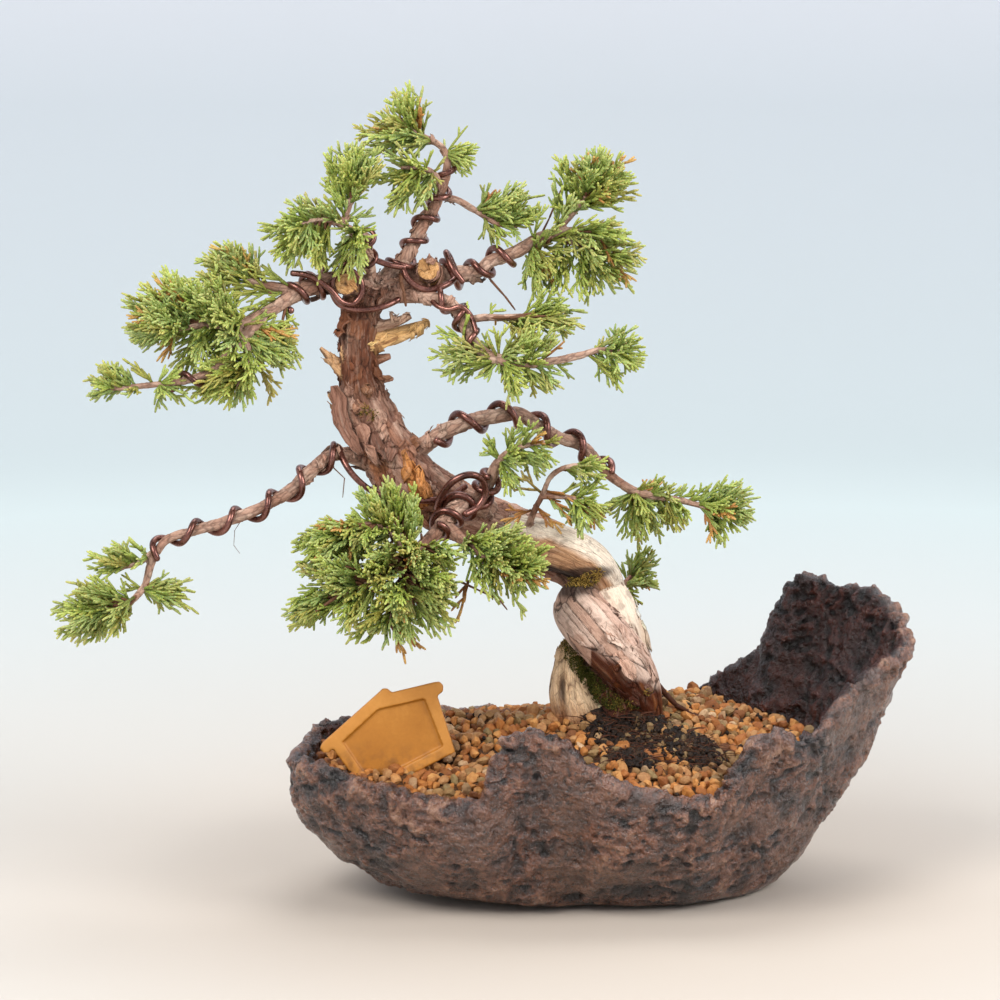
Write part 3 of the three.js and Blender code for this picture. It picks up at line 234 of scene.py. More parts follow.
# Foliage pads. Each has its habit (sprays for each spray of the solid, length of the cords, how open the
# sprays are), its leafy stems (each from a share of its length on), its lobes of foliage (middle, half
# sizes, lean and number of sprays) and the fronds that stand out of it (foot, tip and how dry).
PADS = {
    "foliage_low_left": (
        (7.5, 1.05, 0.95), [("low_left", 0.83)],
        [
            ((-188, -44, 112), (16, 16, 14), (-0.5, -0.1, -0.2), 6),
            ((-163, -38, 119), (7, 4, 7), (0.6, 0, -0.4), 2),
        ],
        [((-171, -40, 122), (-154, -42, 113), 0.15)],
    ),
    "foliage_low_left_top": (
        (6.5, 1, 0.95), [("low_left_twig", 0.15)], [((-180, -39, 129), (13, 8, 8), (-0.4, 0, 0.4), 3)], [],
    ),
    "foliage_upper_left": (
        (9, 1.35, 0.9), [("upper_left", 0.62), ("upper_left_low", 0)],
        [
            ((-153, -32, 217), (26, 19, 18), (-0.6, -0.1, 0.3), 9),
            ((-141, -33, 202), (18, 14, 17), (-0.3, -0.1, -0.4), 6),
            ((-123, -22, 208), (6, 7, 11), (0.6, 0, -0.5), 2),
        ],
        [
            ((-122, -20, 226), (-141, -26, 225), 0.1), ((-124, -20, 225), (-146, -28, 231), 0.2),
            ((-119, -18, 228), (-134, -24, 235), 0.1), ((-121, -18, 224), (-136, -30, 219), 0.05),
            ((-121, -18, 222), (-117, -22, 201), 0.1), ((-131, -30, 203), (-125, -27, 188), 0.45),
        ],
    ),
    "foliage_upper_left_top": (
        (5.5, 1.25, 0.85), [("upper_left_top", 0.35)], [((-140, -21, 234), (15, 9, 10), (-0.4, 0, 0.5), 4)],
        [
            ((-128, -20, 227), (-144, -24, 243), 0.75), ((-130, -20, 229), (-139, -20, 241), 0.7),
            ((-132, -20, 230), (-149, -24, 239), 0.25),
        ],
    ),
    "foliage_left_tip": (
        (5.5, 0.9, 1), [("left_tip", 0.7)],
        [
            ((-179, -45, 195), (12, 9, 9), (-0.7, 0, 0.1), 4),
            ((-160, -42, 194), (10, 9, 9), (-0.1, 0, -0.2), 2),
        ],
        [],
    ),
    "foliage_crown_left": (
        (8.5, 1.1, 0.95), [("crown_left", 0.5), ("crown_up", 0)],
        [
            ((-105, -20, 246), (24, 15, 16), (-0.4, 0, -0.1), 8),
            ((-95, -16, 268), (13, 12, 12), (-0.1, 0, 0.5), 4),
        ],
        [((-95, -14, 266), (-102, -16, 279), 0.1)],
    ),
    "foliage_apex": (
        (5.2, 1.35, 0.85), [("apex", 0.72)],
        [
            ((-82, -4, 282), (14, 12, 9), (-0.4, 0, 0.1), 4),
            ((-77, -3, 290), (8, 6, 9), (-0.1, 0, 0.8), 2), ((-59, 0, 274), (6, 6, 7), (0.8, 0, 0), 2),
        ],
        [((-72, -3, 283), (-79, -4, 297), 0.1)],
    ),
    "foliage_apex_inner": (
        (5, 1.2, 0.9), [("apex_inner", 0.4)], [((-76, -9, 266), (13, 11, 13), (-0.2, -0.2, -0.2), 5)], [],
    ),
    "foliage_upper_right": (
        (8, 1.15, 0.95), [("upper_right", 0.7), ("upper_right_up", 0), ("upper_right_low", 0)],
        [
            ((-8, 13, 264), (17, 14, 13), (0.2, 0, 0.5), 7),
            ((-8, 12, 237), (20, 16, 16), (0.4, 0, -0.1), 6), ((-27, 9, 230), (9, 7, 9), (0.1, 0, -0.5), 2),
        ],
        [
            ((-25, 11, 242), (-13, 4, 259), 0.1), ((-24, 11, 243), (-8, 4, 251), 0.1),
            ((-26, 11, 241), (-13, 2, 240), 0.2), ((-30, 9, 240), (-27, 2, 257), 0.05),
            ((-28, 9, 240), (-20, 0, 250), 0.1), ((-33, 8, 238), (-27, 0, 229), 0.1),
            ((-7, 13, 247), (6, 9, 227), 0.9), ((-8, 14, 262), (2, 12, 273), 0.1),
        ],
    ),
    "foliage_upper_right_twig": (
        (6, 1.15, 0.9), [("upper_right_twig", 0.45)], [((-38, 9, 252), (13, 11, 12), (0.1, 0, 0.4), 6)], [],
    ),
    "foliage_right_under": (
        (5, 1.25, 0.9), [("right_under", 0.53)],
        [
            ((-34, -19, 197), (16, 11, 11), (0.1, -0.1, -0.3), 5),
            ((-32, -18, 208), (14, 8, 7), (0.2, 0, 0.5), 2), ((0, -18, 202), (9, 11, 11), (0.4, 0, 0), 5),
            ((-58, -17, 203), (9, 8, 9), (-0.5, -0.1, -0.2), 2),
        ],
        [
            ((-55, -16, 208), (-66, -16, 212), 0), ((-56, -16, 207), (-61, -16, 197), 0),
            ((-56, -16, 208), (-54, -16, 218), 0),
        ],
    ),
    "foliage_right_under_twig": (
        (5, 1.3, 0.85), [("right_under_twig", 0.3)], [((-29, -5, 215), (18, 9, 9), (0.3, 0, 0), 5)], [],
    ),
    "foliage_mid_right": (
        (7.5, 1.05, 1), [("mid_right", 0.72)],
        [((15, 14, 141), (16, 12, 13), (0.1, 0, -0.2), 6), ((42, 14, 141), (13, 12, 13), (0.4, 0, 0), 5)],
        [],
    ),
    "foliage_mid": (
        (5.5, 1.1, 0.9), [("mid", 0.62)], [((-35, -16, 165), (14, 11, 14), (0.2, 0, 0), 5)], [],
    ),
    "foliage_mid_low": (
        (5.2, 1.1, 0.9), [("mid_low", 0.5), ("mid_low_twig", 0)],
        [((-12, -14, 158), (10, 8, 8), (0.4, 0, 0.2), 3), ((-11, -15, 144), (9, 8, 7), (0.2, 0, -0.3), 3)],
        [
            ((-30, -6, 146), (-21, -15, 138), 1), ((-31, -5, 144), (-41, -12, 139), 1),
            ((-27, -10, 151), (-34, -16, 158), 0.6), ((-25, -12, 152), (-14, -14, 150), 1),
            ((-25, -12, 150), (-17, -14, 142), 1),
        ],
    ),
    "foliage_front": (
        (17, 0.82, 1.1), [("front", 0.58), ("front_up", 0), ("front_low", 0)],
        [
            ((-98, -48, 134), (20, 17, 14), (-0.5, -0.1, 0.1), 6),
            ((-81, -50, 122), (29, 23, 23), (0, -0.3, 0), 11),
            ((-83, -38, 148), (15, 11, 12), (-0.1, 0, 0.5), 3),
            ((-112, -52, 114), (9, 3, 6), (-0.9, 0, -0.5), 1),
        ],
        [
            ((-100, -54, 120), (-118, -58, 108), 0.2), ((-84, -50, 112), (-77, -50, 97), 1),
            ((-84, -51, 112), (-71, -48, 99), 1), ((-68, -28, 137), (-60, -42, 127), 0.1),
            ((-70, -32, 135), (-62, -45, 119), 0.1), ((-70, -32, 135), (-69, -48, 124), 0.05),
            ((-72, -34, 133), (-66, -47, 112), 0.2),
        ],
    ),
    "foliage_front_right": (
        (10.5, 0.95, 1.05), [("front_right", 0.3)], [((-40, -38, 129), (17, 13, 15), (0.2, -0.1, 0), 7)],
        [((-54, -33, 122), (-57, -38, 110), 1), ((-42, -36, 126), (-33, -38, 109), 0.1)],
    ),
    "foliage_back": ((6, 1.2, 0.9), [("back", 0.5)], [((10, 35, 113), (9, 9, 11), (0.3, 0, 0), 4)], []),
}

# Bare twigs and hairs: points and radius at the foot.
BARE_TWIGS = [
    ([(-48, 6, 232), (-46, 5, 229), (-40.7, 5, 223), (-37, 6, 218)], 0.6),
    ([(-60, -10, 220), (-51.8, -8, 216), (-39, -8, 216), (-26, -8, 216.6)], 0.9),
    ([(-107, -10, 164), (-105.5, -11, 162), (-100, -13, 157), (-100.7, -13, 150)], 0.3),
    ([(-136, -26, 145), (-139.6, -27, 139.5), (-140, -27, 134), (-137.8, -27, 131)], 0.14),
    ([(-79, -8, 232), (-78.9, -11, 229), (-77.8, -12.5, 225.7), (-77.1, -12, 220.6)], 0.9),
    ([(-57, -36, 122), (-50, -38, 119), (-43, -39, 116), (-40, -38, 112)], 0.5),
    ([(-30, 10, 240), (-24, 12, 252), (-20, 12, 262)], 0.5),
    ([(-120, -18, 224), (-122, -22, 215), (-126, -24, 205)], 0.7),
]

# Thicker roots: points and radius at both ends.
THICK_ROOTS = [
    ([(-20, -2, 63), (-14, -3, 63.5), (-9, -2, 62), (-7, -14, 62), (-6, -26, 61.5), (-4, -38, 60)], 0.7, 0.4),
    ([(16, -1, 78), (20, 1, 73), (24, 3, 68.5), (28, 5, 66), (33, 6, 63.5)], 1.3, 0.8),
]

# Torn sheets of bark that stand off the wood: foot, way, length, width and how far the free end lifts.
BARK_SHEETS = [
    ((-98, -6, 168), (-0.1, -0.1, 1), 15, 6, 2.2), ((-94.4, -8.7, 176.3), (0.55, 0, -0.8), 16, 6, 2.4),
    ((-88.8, -8.6, 174), (0.6, 0, -0.8), 11, 5, 2.2), ((-84, -10.5, 171), (0.8, 0, -0.6), 8, 5, 2),
    ((-91, -10, 232), (0.6, 0.2, 0.7), 5, 4, 2.6), ((-86, -10, 231), (0.8, -0.1, -0.3), 6, 4, 2.8),
    ((-82, -10, 229), (0.7, -0.2, 0.6), 6, 4, 2.4), ((-88, -10, 207), (0.4, 0, -1), 6, 3.5, 2),
    ((-87, -8, 198), (0.5, 0, -1), 6, 4, 2.4), ((-60, -4, 236), (0.9, -0.1, -0.5), 9, 5, 3),
    ((-52, 1, 229), (0.9, 0, -0.5), 8, 4, 2.5), ((-66, -6, 238), (0.3, -0.3, 1), 4, 4, 1.5),
    ((-104, -11, 222), (-0.3, -0.1, -1), 8, 4, 3), ((-99, -9, 218), (-0.2, 0, -1), 9, 5, 2.2),
    ((-4.5, -22, 104), (0.6, 0.1, -0.75), 12, 4.5, 0.8), ((0.6, -22.3, 93.5), (0.5, 0.1, -0.85), 13, 5, 1),
    ((6.3, -20, 96), (0.5, 0.2, -0.85), 11, 4, 0.9), ((11, -16, 92), (0.3, 0.2, -0.9), 12, 3.6, 1),
    ((-20.5, -6, 94), (0.1, -0.2, -1), 7, 4, 1.8), ((15, 0, 101), (0.15, 0, -1), 10, 3.5, 1),
]

# A torn sheet of bark beside the trunk, open to the front: places and half widths.
SIDE_SHEET = [
    (-94, -7, 165, 1.2), (-96.8, -8, 169, 2.4), (-100, -8.5, 175, 3.3), (-101.8, -9, 181, 3.2),
    (-102.4, -9, 187, 2.8), (-103.8, -9.5, 191, 1.4),
]

# Moss and dry tufts on the wood: middle, reach, blades, how dry they are and how long.
MOSS = [
    ((-17.8, -4.8, 93), 3, 160, 0.3, 1.3), ((-16, -8.1, 89.8), 3.2, 240, 0.15, 1.5),
    ((-13.5, -9, 86), 3.6, 320, 0.05, 1.8), ((-10.6, -8, 82), 4.2, 420, 0, 1.9),
    ((-7.6, -6, 78.2), 4.6, 460, 0, 1.9), ((-4.7, -8, 75.3), 4.2, 400, 0.1, 1.8),
    ((-1.4, -9.1, 72.9), 3.8, 300, 0.15, 1.7), ((2.3, -10.4, 71.2), 3.2, 180, 0.3, 1.6),
    ((6.4, -14.7, 72), 2.4, 110, 0.3, 1.4), ((12.4, -17, 77.5), 1.8, 70, 0.9, 1.2),
    ((-11.9, -6, 116.7), 3.6, 180, 0.9, 2.1), ((-9, -8.4, 119), 3.2, 150, 0.85, 1.9),
    ((-6.4, -8.6, 120.5), 2.6, 90, 0.9, 1.5), ((-14.5, -4, 114), 3, 80, 0.8, 1.8),
    ((-93.5, -9.9, 182), 2.6, 120, 0.6, 1.3), ((-89.5, -10, 180.2), 2.2, 80, 0.5, 1.3),
]

# The dark root ball that shows in front of the trunk: middles and half sizes in plan.
ROOT_BALL = [(-3, -6, 15, 9), (6, -20, 16, 12), (30, -26, 9, 12), (6, -38, 10, 5)]

# ------------------------------------------------------------------ noise

# In every pattern the size is in millimetres, and the salt only makes it differ from the others.


def dice(cells, salt):
    """A repeatable number from 0 to 1 for each cell of a grid."""
    x, y, z = (cells[:, i].astype(np.int64) for i in range(3))
    h = (x * 374761393 + y * 668265263 + z * 1274126177 + salt * 974634777) & 0xFFFFFFFF
    h = ((h ^ (h >> 13)) * 1274126177) & 0xFFFFFFFF
    h = ((h ^ (h >> 15)) * 2246822519) & 0xFFFFFFFF
    return ((h ^ (h >> 16)) & 0xFFFFFF) / 0x1000000


def noise(points, size, salt):
    """Smooth noise from -1 to 1, in lumps of about that size."""
    p = points / size
    base = np.floor(p)
    f = p - base
    f = f * f * (3 - 2 * f)
    total = np.zeros(len(p))
    for corner in np.ndindex(2, 2, 2):
        weight = np.prod(np.where(np.array(corner), f, 1 - f), axis=1)
        total += weight * dice(base + corner, salt)
    return 2 * total - 1


def layered(points, size, layers, salt):
    """Noise with finer and weaker layers on top."""
    return sum(noise(points, size / 2**k, salt + k) / 2**k for k in range(layers))


def ridges(points, size, layers, salt):
    """Sharp ridges between smooth hollows, from -1 to 1, with finer and weaker ridges on top."""
    return sum((1 - 3 * np.abs(noise(points, size / 2**k, salt + k))) / 2**k for k in range(layers)) / 1.6


def cells(points, size, salt):
    """Rounded cells: how far a point is from its cell's edge, and its cell's number from 0 to 1."""
    p = points / size
    base = np.floor(p)
    first, second, number = np.full(len(p), 9.0), np.full(len(p), 9.0), np.zeros(len(p))
    for offset in np.ndindex(3, 3, 3):
        cell = base + offset - 1
        seed = cell + np.stack([dice(cell, salt + k) for k in range(3)], 1)
        away = np.linalg.norm(p - seed, axis=1)
        nearer = away < first
        second = np.where(nearer, first, np.minimum(second, away))
        number = np.where(nearer, dice(cell, salt + 7), number)
        first = np.minimum(first, away)
    return second - first, number


def ease(x, low, high):
    """0 below low, 1 above high and a smooth rise between them."""
    t = np.clip((x - low) / (high - low), 0, 1)
    return t * t * (3 - 2 * t)


# Steps of an even spread, the same as in the solids; only the first four are needed here.
SPREAD = (0.8812714616, 0.776639389, 0.6844301295, 0.6031687406)


def spread(i, k):
    """Number i of an endless, even spread of numbers between 0 and 1."""
    return (0.5 + i * SPREAD[k]) % 1


# ------------------------------------------------------------------ meshes


def packed(*values):
    """Three numbers for each point as one colour that the mesh can keep."""
    return np.stack([*values, 1 + 0 * values[0]], -1)


def mesh_from(name, points, faces, values=None):
    """A smooth mesh from points in millimetres and arrays of faces, with values stored at its points."""
    mesh = bpy.data.meshes.new(name)
    loops = np.concatenate([f.ravel() for f in faces]).astype(np.int32)
    sizes = np.concatenate([np.full(len(f), f.shape[1]) for f in faces])
    mesh.vertices.add(len(points))
    mesh.vertices.foreach_set("co", (points * MM).astype(np.float32).ravel())
    mesh.loops.add(len(loops))
    mesh.loops.foreach_set("vertex_index", loops)
    mesh.polygons.add(len(sizes))
    mesh.polygons.foreach_set("loop_start", np.concatenate([[0], np.cumsum(sizes)[:-1]]).astype(np.int32))
    mesh.update(calc_edges=True)
    store(mesh, values or {})
    mesh.shade_smooth()
    return mesh


def store(mesh, values):
    """Keeps numbers, vectors or colours at the mesh's points for its material."""
    kinds = {1: ("FLOAT", "value"), 3: ("FLOAT_VECTOR", "vector"), 4: ("FLOAT_COLOR", "color")}
    for name, value in values.items():
        value = np.asarray(value, np.float32)
        kind, field = kinds[1 if value.ndim == 1 else value.shape[1]]
        mesh.attributes.new(name, kind, "POINT").data.foreach_set(field, value.ravel())


def place(mesh, material, replaces=()):
    """Adds a mesh to the object as a piece that rides on the root body."""
    piece = bpy.data.objects.new(mesh.name, mesh)
    bpy.context.scene.collection.objects.link(piece)
    mesh.materials.clear()
    mesh.materials.append(material)
    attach(piece, "root")
    if replaces:
        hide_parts(*replaces)
    return piece


def refined(mesh, name, size, rounds):
    """A new smooth mesh over an old one's shape, with faces of an even size (in metres)."""
    draft = bpy.data.objects.new(name, mesh.copy())
    bpy.context.scene.collection.objects.link(draft)
    remesh = draft.modifiers.new("Remesh", "REMESH")
    remesh.mode, remesh.voxel_size = "VOXEL", size
    smooth = draft.modifiers.new("Smooth", "SMOOTH")
    smooth.factor, smooth.iterations = 0.5, rounds
    graph = bpy.context.evaluated_depsgraph_get()
    result = bpy.data.meshes.new_from_object(draft.evaluated_get(graph))
    bpy.data.objects.remove(draft)
    result.name = name
    result.shade_smooth()
    return result


def points_of(mesh):
    """The mesh's points in millimetres."""
    co = np.empty(len(mesh.vertices) * 3, np.float32)
    mesh.vertices.foreach_get("co", co)
    return co.reshape(-1, 3).astype(float) / MM


def normals_of(mesh):
    """The mesh's normals at its points."""
    normals = np.empty(len(mesh.vertices) * 3, np.float32)
    mesh.vertex_normals.foreach_get("vector", normals)
    return normals.reshape(-1, 3).astype(float)


def move_points(mesh, points):
    """Puts the mesh's points in new places, in millimetres."""
    mesh.vertices.foreach_set("co", (points * MM).astype(np.float32).ravel())
    mesh.update()


def bands(count, sides):
    """Numbers of the points in rings, the same moved on by one in each ring, and the faces between rings."""
    grid = np.arange(count * sides).reshape(count, sides)
    turned = np.roll(grid, -1, axis=1)
    return grid, turned, np.stack([grid[:-1], turned[:-1], turned[1:], grid[1:]], -1).reshape(-1, 4)


def loft(rings):
    """Points and faces of a closed skin through rings of points (rings, sides, 3)."""
    count, sides = rings.shape[:2]
    points = np.vstack([rings.reshape(-1, 3), rings[0].mean(0), rings[-1].mean(0)])
    grid, turned, quads = bands(count, sides)
    first = np.stack([np.full(sides, count * sides), turned[0], grid[0]], -1)
    last = np.stack([np.full(sides, count * sides + 1), grid[-1], turned[-1]], -1)
    return points, [quads, np.vstack([first, last])]


def joined(bodies):
    """One set of points and faces from several."""
    points, quads, tris, start = [], [], [], 0
    for body, faces in bodies:
        points.append(body)
        for f in faces:
            (quads if f.shape[1] == 4 else tris).append(f + start)
        start += len(body)
    return np.vstack(points), [np.vstack(group) for group in (quads, tris) if group]


def shell(top, bottom):
    """Points and faces of a thin closed sheet between two grids of points (rows, columns, 3)."""
    rows, columns = top.shape[:2]
    half = rows * columns
    grid = np.arange(half).reshape(rows, columns)
    over = np.stack([grid[:-1, :-1], grid[:-1, 1:], grid[1:, 1:], grid[1:, :-1]], -1).reshape(-1, 4)
    under = over[:, [0, 3, 2, 1]] + half
    rim = np.concatenate([grid[0, :-1], grid[:-1, -1], grid[-1, :0:-1], grid[:0:-1, 0]])
    after = np.roll(rim, -1)
    edge = np.stack([rim, rim + half, after + half, after], -1)
    return np.vstack([top.reshape(-1, 3), bottom.reshape(-1, 3)]), [np.vstack([over, under, edge])]


def bent(a, b, c, t):
    """A place on the curve from a to c that is drawn towards b; t runs from 0 to 1."""
    return (1 - t) ** 2 * a + 2 * t * (1 - t) * b + t * t * c


def near_tree(points):
    """A tree for finding the nearest of many points."""
    tree = KDTree(len(points))
    for i, q in enumerate(points):
        tree.insert(q, i)
    tree.balance()
    return tree


class Cords:
    """Gathers thin bent cords, such as needles, twigs and roots, and makes one mesh of them."""

    def __init__(self):
        self.rows = []

    def add(self, start, bend, end, first, last, tint=(0, 1, 0, 0)):
        """A cord drawn towards bend; tint is its age at both ends, its random number and how dry it is."""
        self.rows.append((*start, *bend, *end, first, last, *tint))

    def add_path(self, points, first, last):
        """Cords end to end through points, getting thinner."""
        points = [Vector(p) for p in points]
        thick = np.linspace(first, last, len(points))
        for k, (a, b) in enumerate(zip(points, points[1:])):
            self.add(a, (a + b) / 2, b + (b - a) * 0.06, thick[k], thick[k + 1])

    def mesh(self, name, sides=5, shares=(0, 0.36, 0.72, 0.95), thickness=(1, 1, 0.97, 0.72)):
        """One mesh of all cords: rings at shares of their lengths, pointed at the tip, flat at the foot."""
        rows = np.array(self.rows)
        a, b, c = rows[:, None, 0:3], rows[:, None, 3:6], rows[:, None, 6:9]
        t = np.array(shares)[None, :, None]
        centre = bent(a, b, c, t)
        along = 2 * (1 - t) * (b - a) + 2 * t * (c - b)
        along /= np.linalg.norm(along, axis=2, keepdims=True) + 1e-9
        hint = np.where(np.abs(along[:, :1, 2:3]) < 0.8, [0, 0, 1.0], [1.0, 0, 0])
        across = np.cross(along, hint)
        across /= np.linalg.norm(across, axis=2, keepdims=True)
        up = np.cross(across, along)
        radius = (rows[:, 9:10] + (rows[:, 10:11] - rows[:, 9:10]) * t[0, :, 0]) * np.array(thickness)
        angle = np.arange(sides) * 2 * math.pi / sides
        ring = across[:, :, None] * np.cos(angle)[:, None] - up[:, :, None] * np.sin(angle)[:, None]
        ring = centre[:, :, None] + ring * radius[:, :, None, None]
        count, rings = ring.shape[:2]
        each = rings * sides + 1
        points = np.concatenate([ring.reshape(count, -1, 3), c], axis=1).reshape(-1, 3)
        grid, turned, quads = bands(rings, sides)
        tips = np.stack([np.full(sides, each - 1), grid[-1], turned[-1]], -1)
        base = np.stack([grid[0][0:1].repeat(sides - 2), turned[0][1:-1], grid[0][1:-1]], -1)
        starts = (np.arange(count) * each)[:, None, None]
        ends = np.vstack([tips, base])
        faces = [(quads[None] + starts).reshape(-1, 4), (ends[None] + starts).reshape(-1, 3)]
        share = np.append(np.repeat(shares, sides), 1.0)
        length = np.linalg.norm(c - a, axis=2)
        age = rows[:, 11:12] + (rows[:, 12:13] - rows[:, 11:12]) * share
        growth = packed(age, *(np.repeat(rows[:, k : k + 1], each, 1) for k in (13, 14)))
        run = np.stack([share * length, np.append(np.tile(angle, rings), 0) + 0 * length, 0 * age], -1)
        values = {"growth": growth.reshape(-1, 4), "run": run.reshape(-1, 3)}
        return mesh_from(name, points, faces, values)


# ------------------------------------------------------------------ limbs


def smooth_curve(points, t):
    """Places on a smooth curve through the points; t runs from 0 to 1."""
    p = np.asarray(points, float)
    p = np.vstack([2 * p[0] - p[1], p, 2 * p[-1] - p[-2]])
    x = np.clip(t, 0, 1) * (len(points) - 1)
    i = np.minimum(x.astype(int), len(points) - 2)
    f = (x - i)[:, None]
    p0, p1, p2, p3 = p[i], p[i + 1], p[i + 2], p[i + 3]
    t0, t1 = (p2 - p0) / 2, (p3 - p1) / 2
    return p1 + t0 * f + (3 * p2 - 3 * p1 - 2 * t0 - t1) * f**2 + (2 * p1 - 2 * p2 + t0 + t1) * f**3


class Limb:
    """A smooth limb: evenly spaced stations with a place, three ways and a radius."""

    def __init__(self, points, step=0.7):
        points = np.array(points, float)
        fine = np.linspace(0, 1, 401)
        path = smooth_curve(points[:, :3], fine)
        lengths = np.append(0, np.cumsum(np.linalg.norm(np.diff(path, axis=0), axis=1)))
        self.span = lengths[-1]
        self.shares = np.linspace(0, 1, max(int(self.span / step), 12) + 1)
        t = np.interp(self.shares * self.span, lengths, fine)
        self.at = smooth_curve(points[:, :3], t)
        self.radius = np.interp(t * (len(points) - 1), np.arange(len(points)), points[:, 3])
        along = np.gradient(self.at, axis=0)
        self.along = along / np.linalg.norm(along, axis=1, keepdims=True)
        self.up = np.empty_like(along)
        normal = np.array([0, 0.3, 1.0])
        for i, way in enumerate(self.along):
            normal = normal - way * (normal @ way)
            normal /= np.linalg.norm(normal)
            self.up[i] = normal
        self.across = np.cross(self.along, self.up)

    def get(self, field, share):
        """A field, such as the radius or the place, at shares of the length."""
        values = getattr(self, field)
        if values.ndim == 1:
            return np.interp(share, self.shares, values)
        return np.stack([np.interp(share, self.shares, values[:, k]) for k in range(3)], -1)

    def ring(self, share, angle, reach):
        """Points round the limb: all three are arrays of one shape."""
        up, across = self.get("up", share), self.get("across", share)
        return self.get("at", share) + reach[..., None] * (
            up * np.cos(angle)[..., None] + across * np.sin(angle)[..., None]
        )

    def skin(self, sides, outline=None):
        """A tube round the limb, and the number of the station that each of its points stands at."""
        angle = np.linspace(0, 2 * math.pi, sides, endpoint=False)[None, :]
        share, angle = np.broadcast_arrays(self.shares[:, None], angle)
        reach = self.get("radius", share) * (outline(angle, share) if outline else 1)
        points, faces = loft(self.ring(share, angle, reach))
        last = len(self.shares) - 1
        return points, faces, np.append(np.repeat(np.arange(last + 1), sides), [0, last])

    def local(self, points, stations):
        """The points up, across and along the limb, in millimetres, from their stations."""
        away = points - self.at[stations]
        ways = (self.up, self.across, self.along)
        up, across, along = (np.einsum("ij,ij->i", away, way[stations]) for way in ways)
        return np.stack([up, across, self.shares[stations] * self.span + along], -1)


limbs = {name: Limb(points) for name, points in LIMBS.items()}


def trunk_outline(angle, share):
    """Two strands grown together, deep low down and shallow at the top."""
    depth = 0.03 + 0.12 * np.maximum(0, 1 - share * 2.4)
    return 1 + depth * np.cos(2 * angle - 9 * share) + 0.04 * np.cos(5 * angle + 4 * share)


def torn_outline(angle, share):
    """Deadwood: flat, split along its length and ragged towards its tip."""
    flat = 1 / np.sqrt(np.cos(angle) ** 2 + (np.sin(angle) / 0.62) ** 2)
    return flat * (1 + 0.16 * np.cos(3 * angle + 5 * share) + 0.2 * share * np.cos(5 * angle + 9 * share))


# ------------------------------------------------------------------ node helpers


def paint(code):
    """A screen colour, such as c98a4b, as the shader's colour."""
    parts = [int(code[i : i + 2], 16) / 255 for i in (0, 2, 4)]
    return (*((c / 12.92 if c <= 0.04045 else ((c + 0.055) / 1.055) ** 2.4) for c in parts), 1)


class Coat:
    """A colour for every point of a mesh, laid on in coats."""

    def __init__(self, count, code):
        self.colour = np.tile(paint(code), (count, 1))

    def lay(self, weight, code):
        """Covers the points by a weight from 0 to 1 with a screen colour."""
        self.colour += np.clip(weight, 0, 1)[:, None] * (np.array(paint(code)) - self.colour)


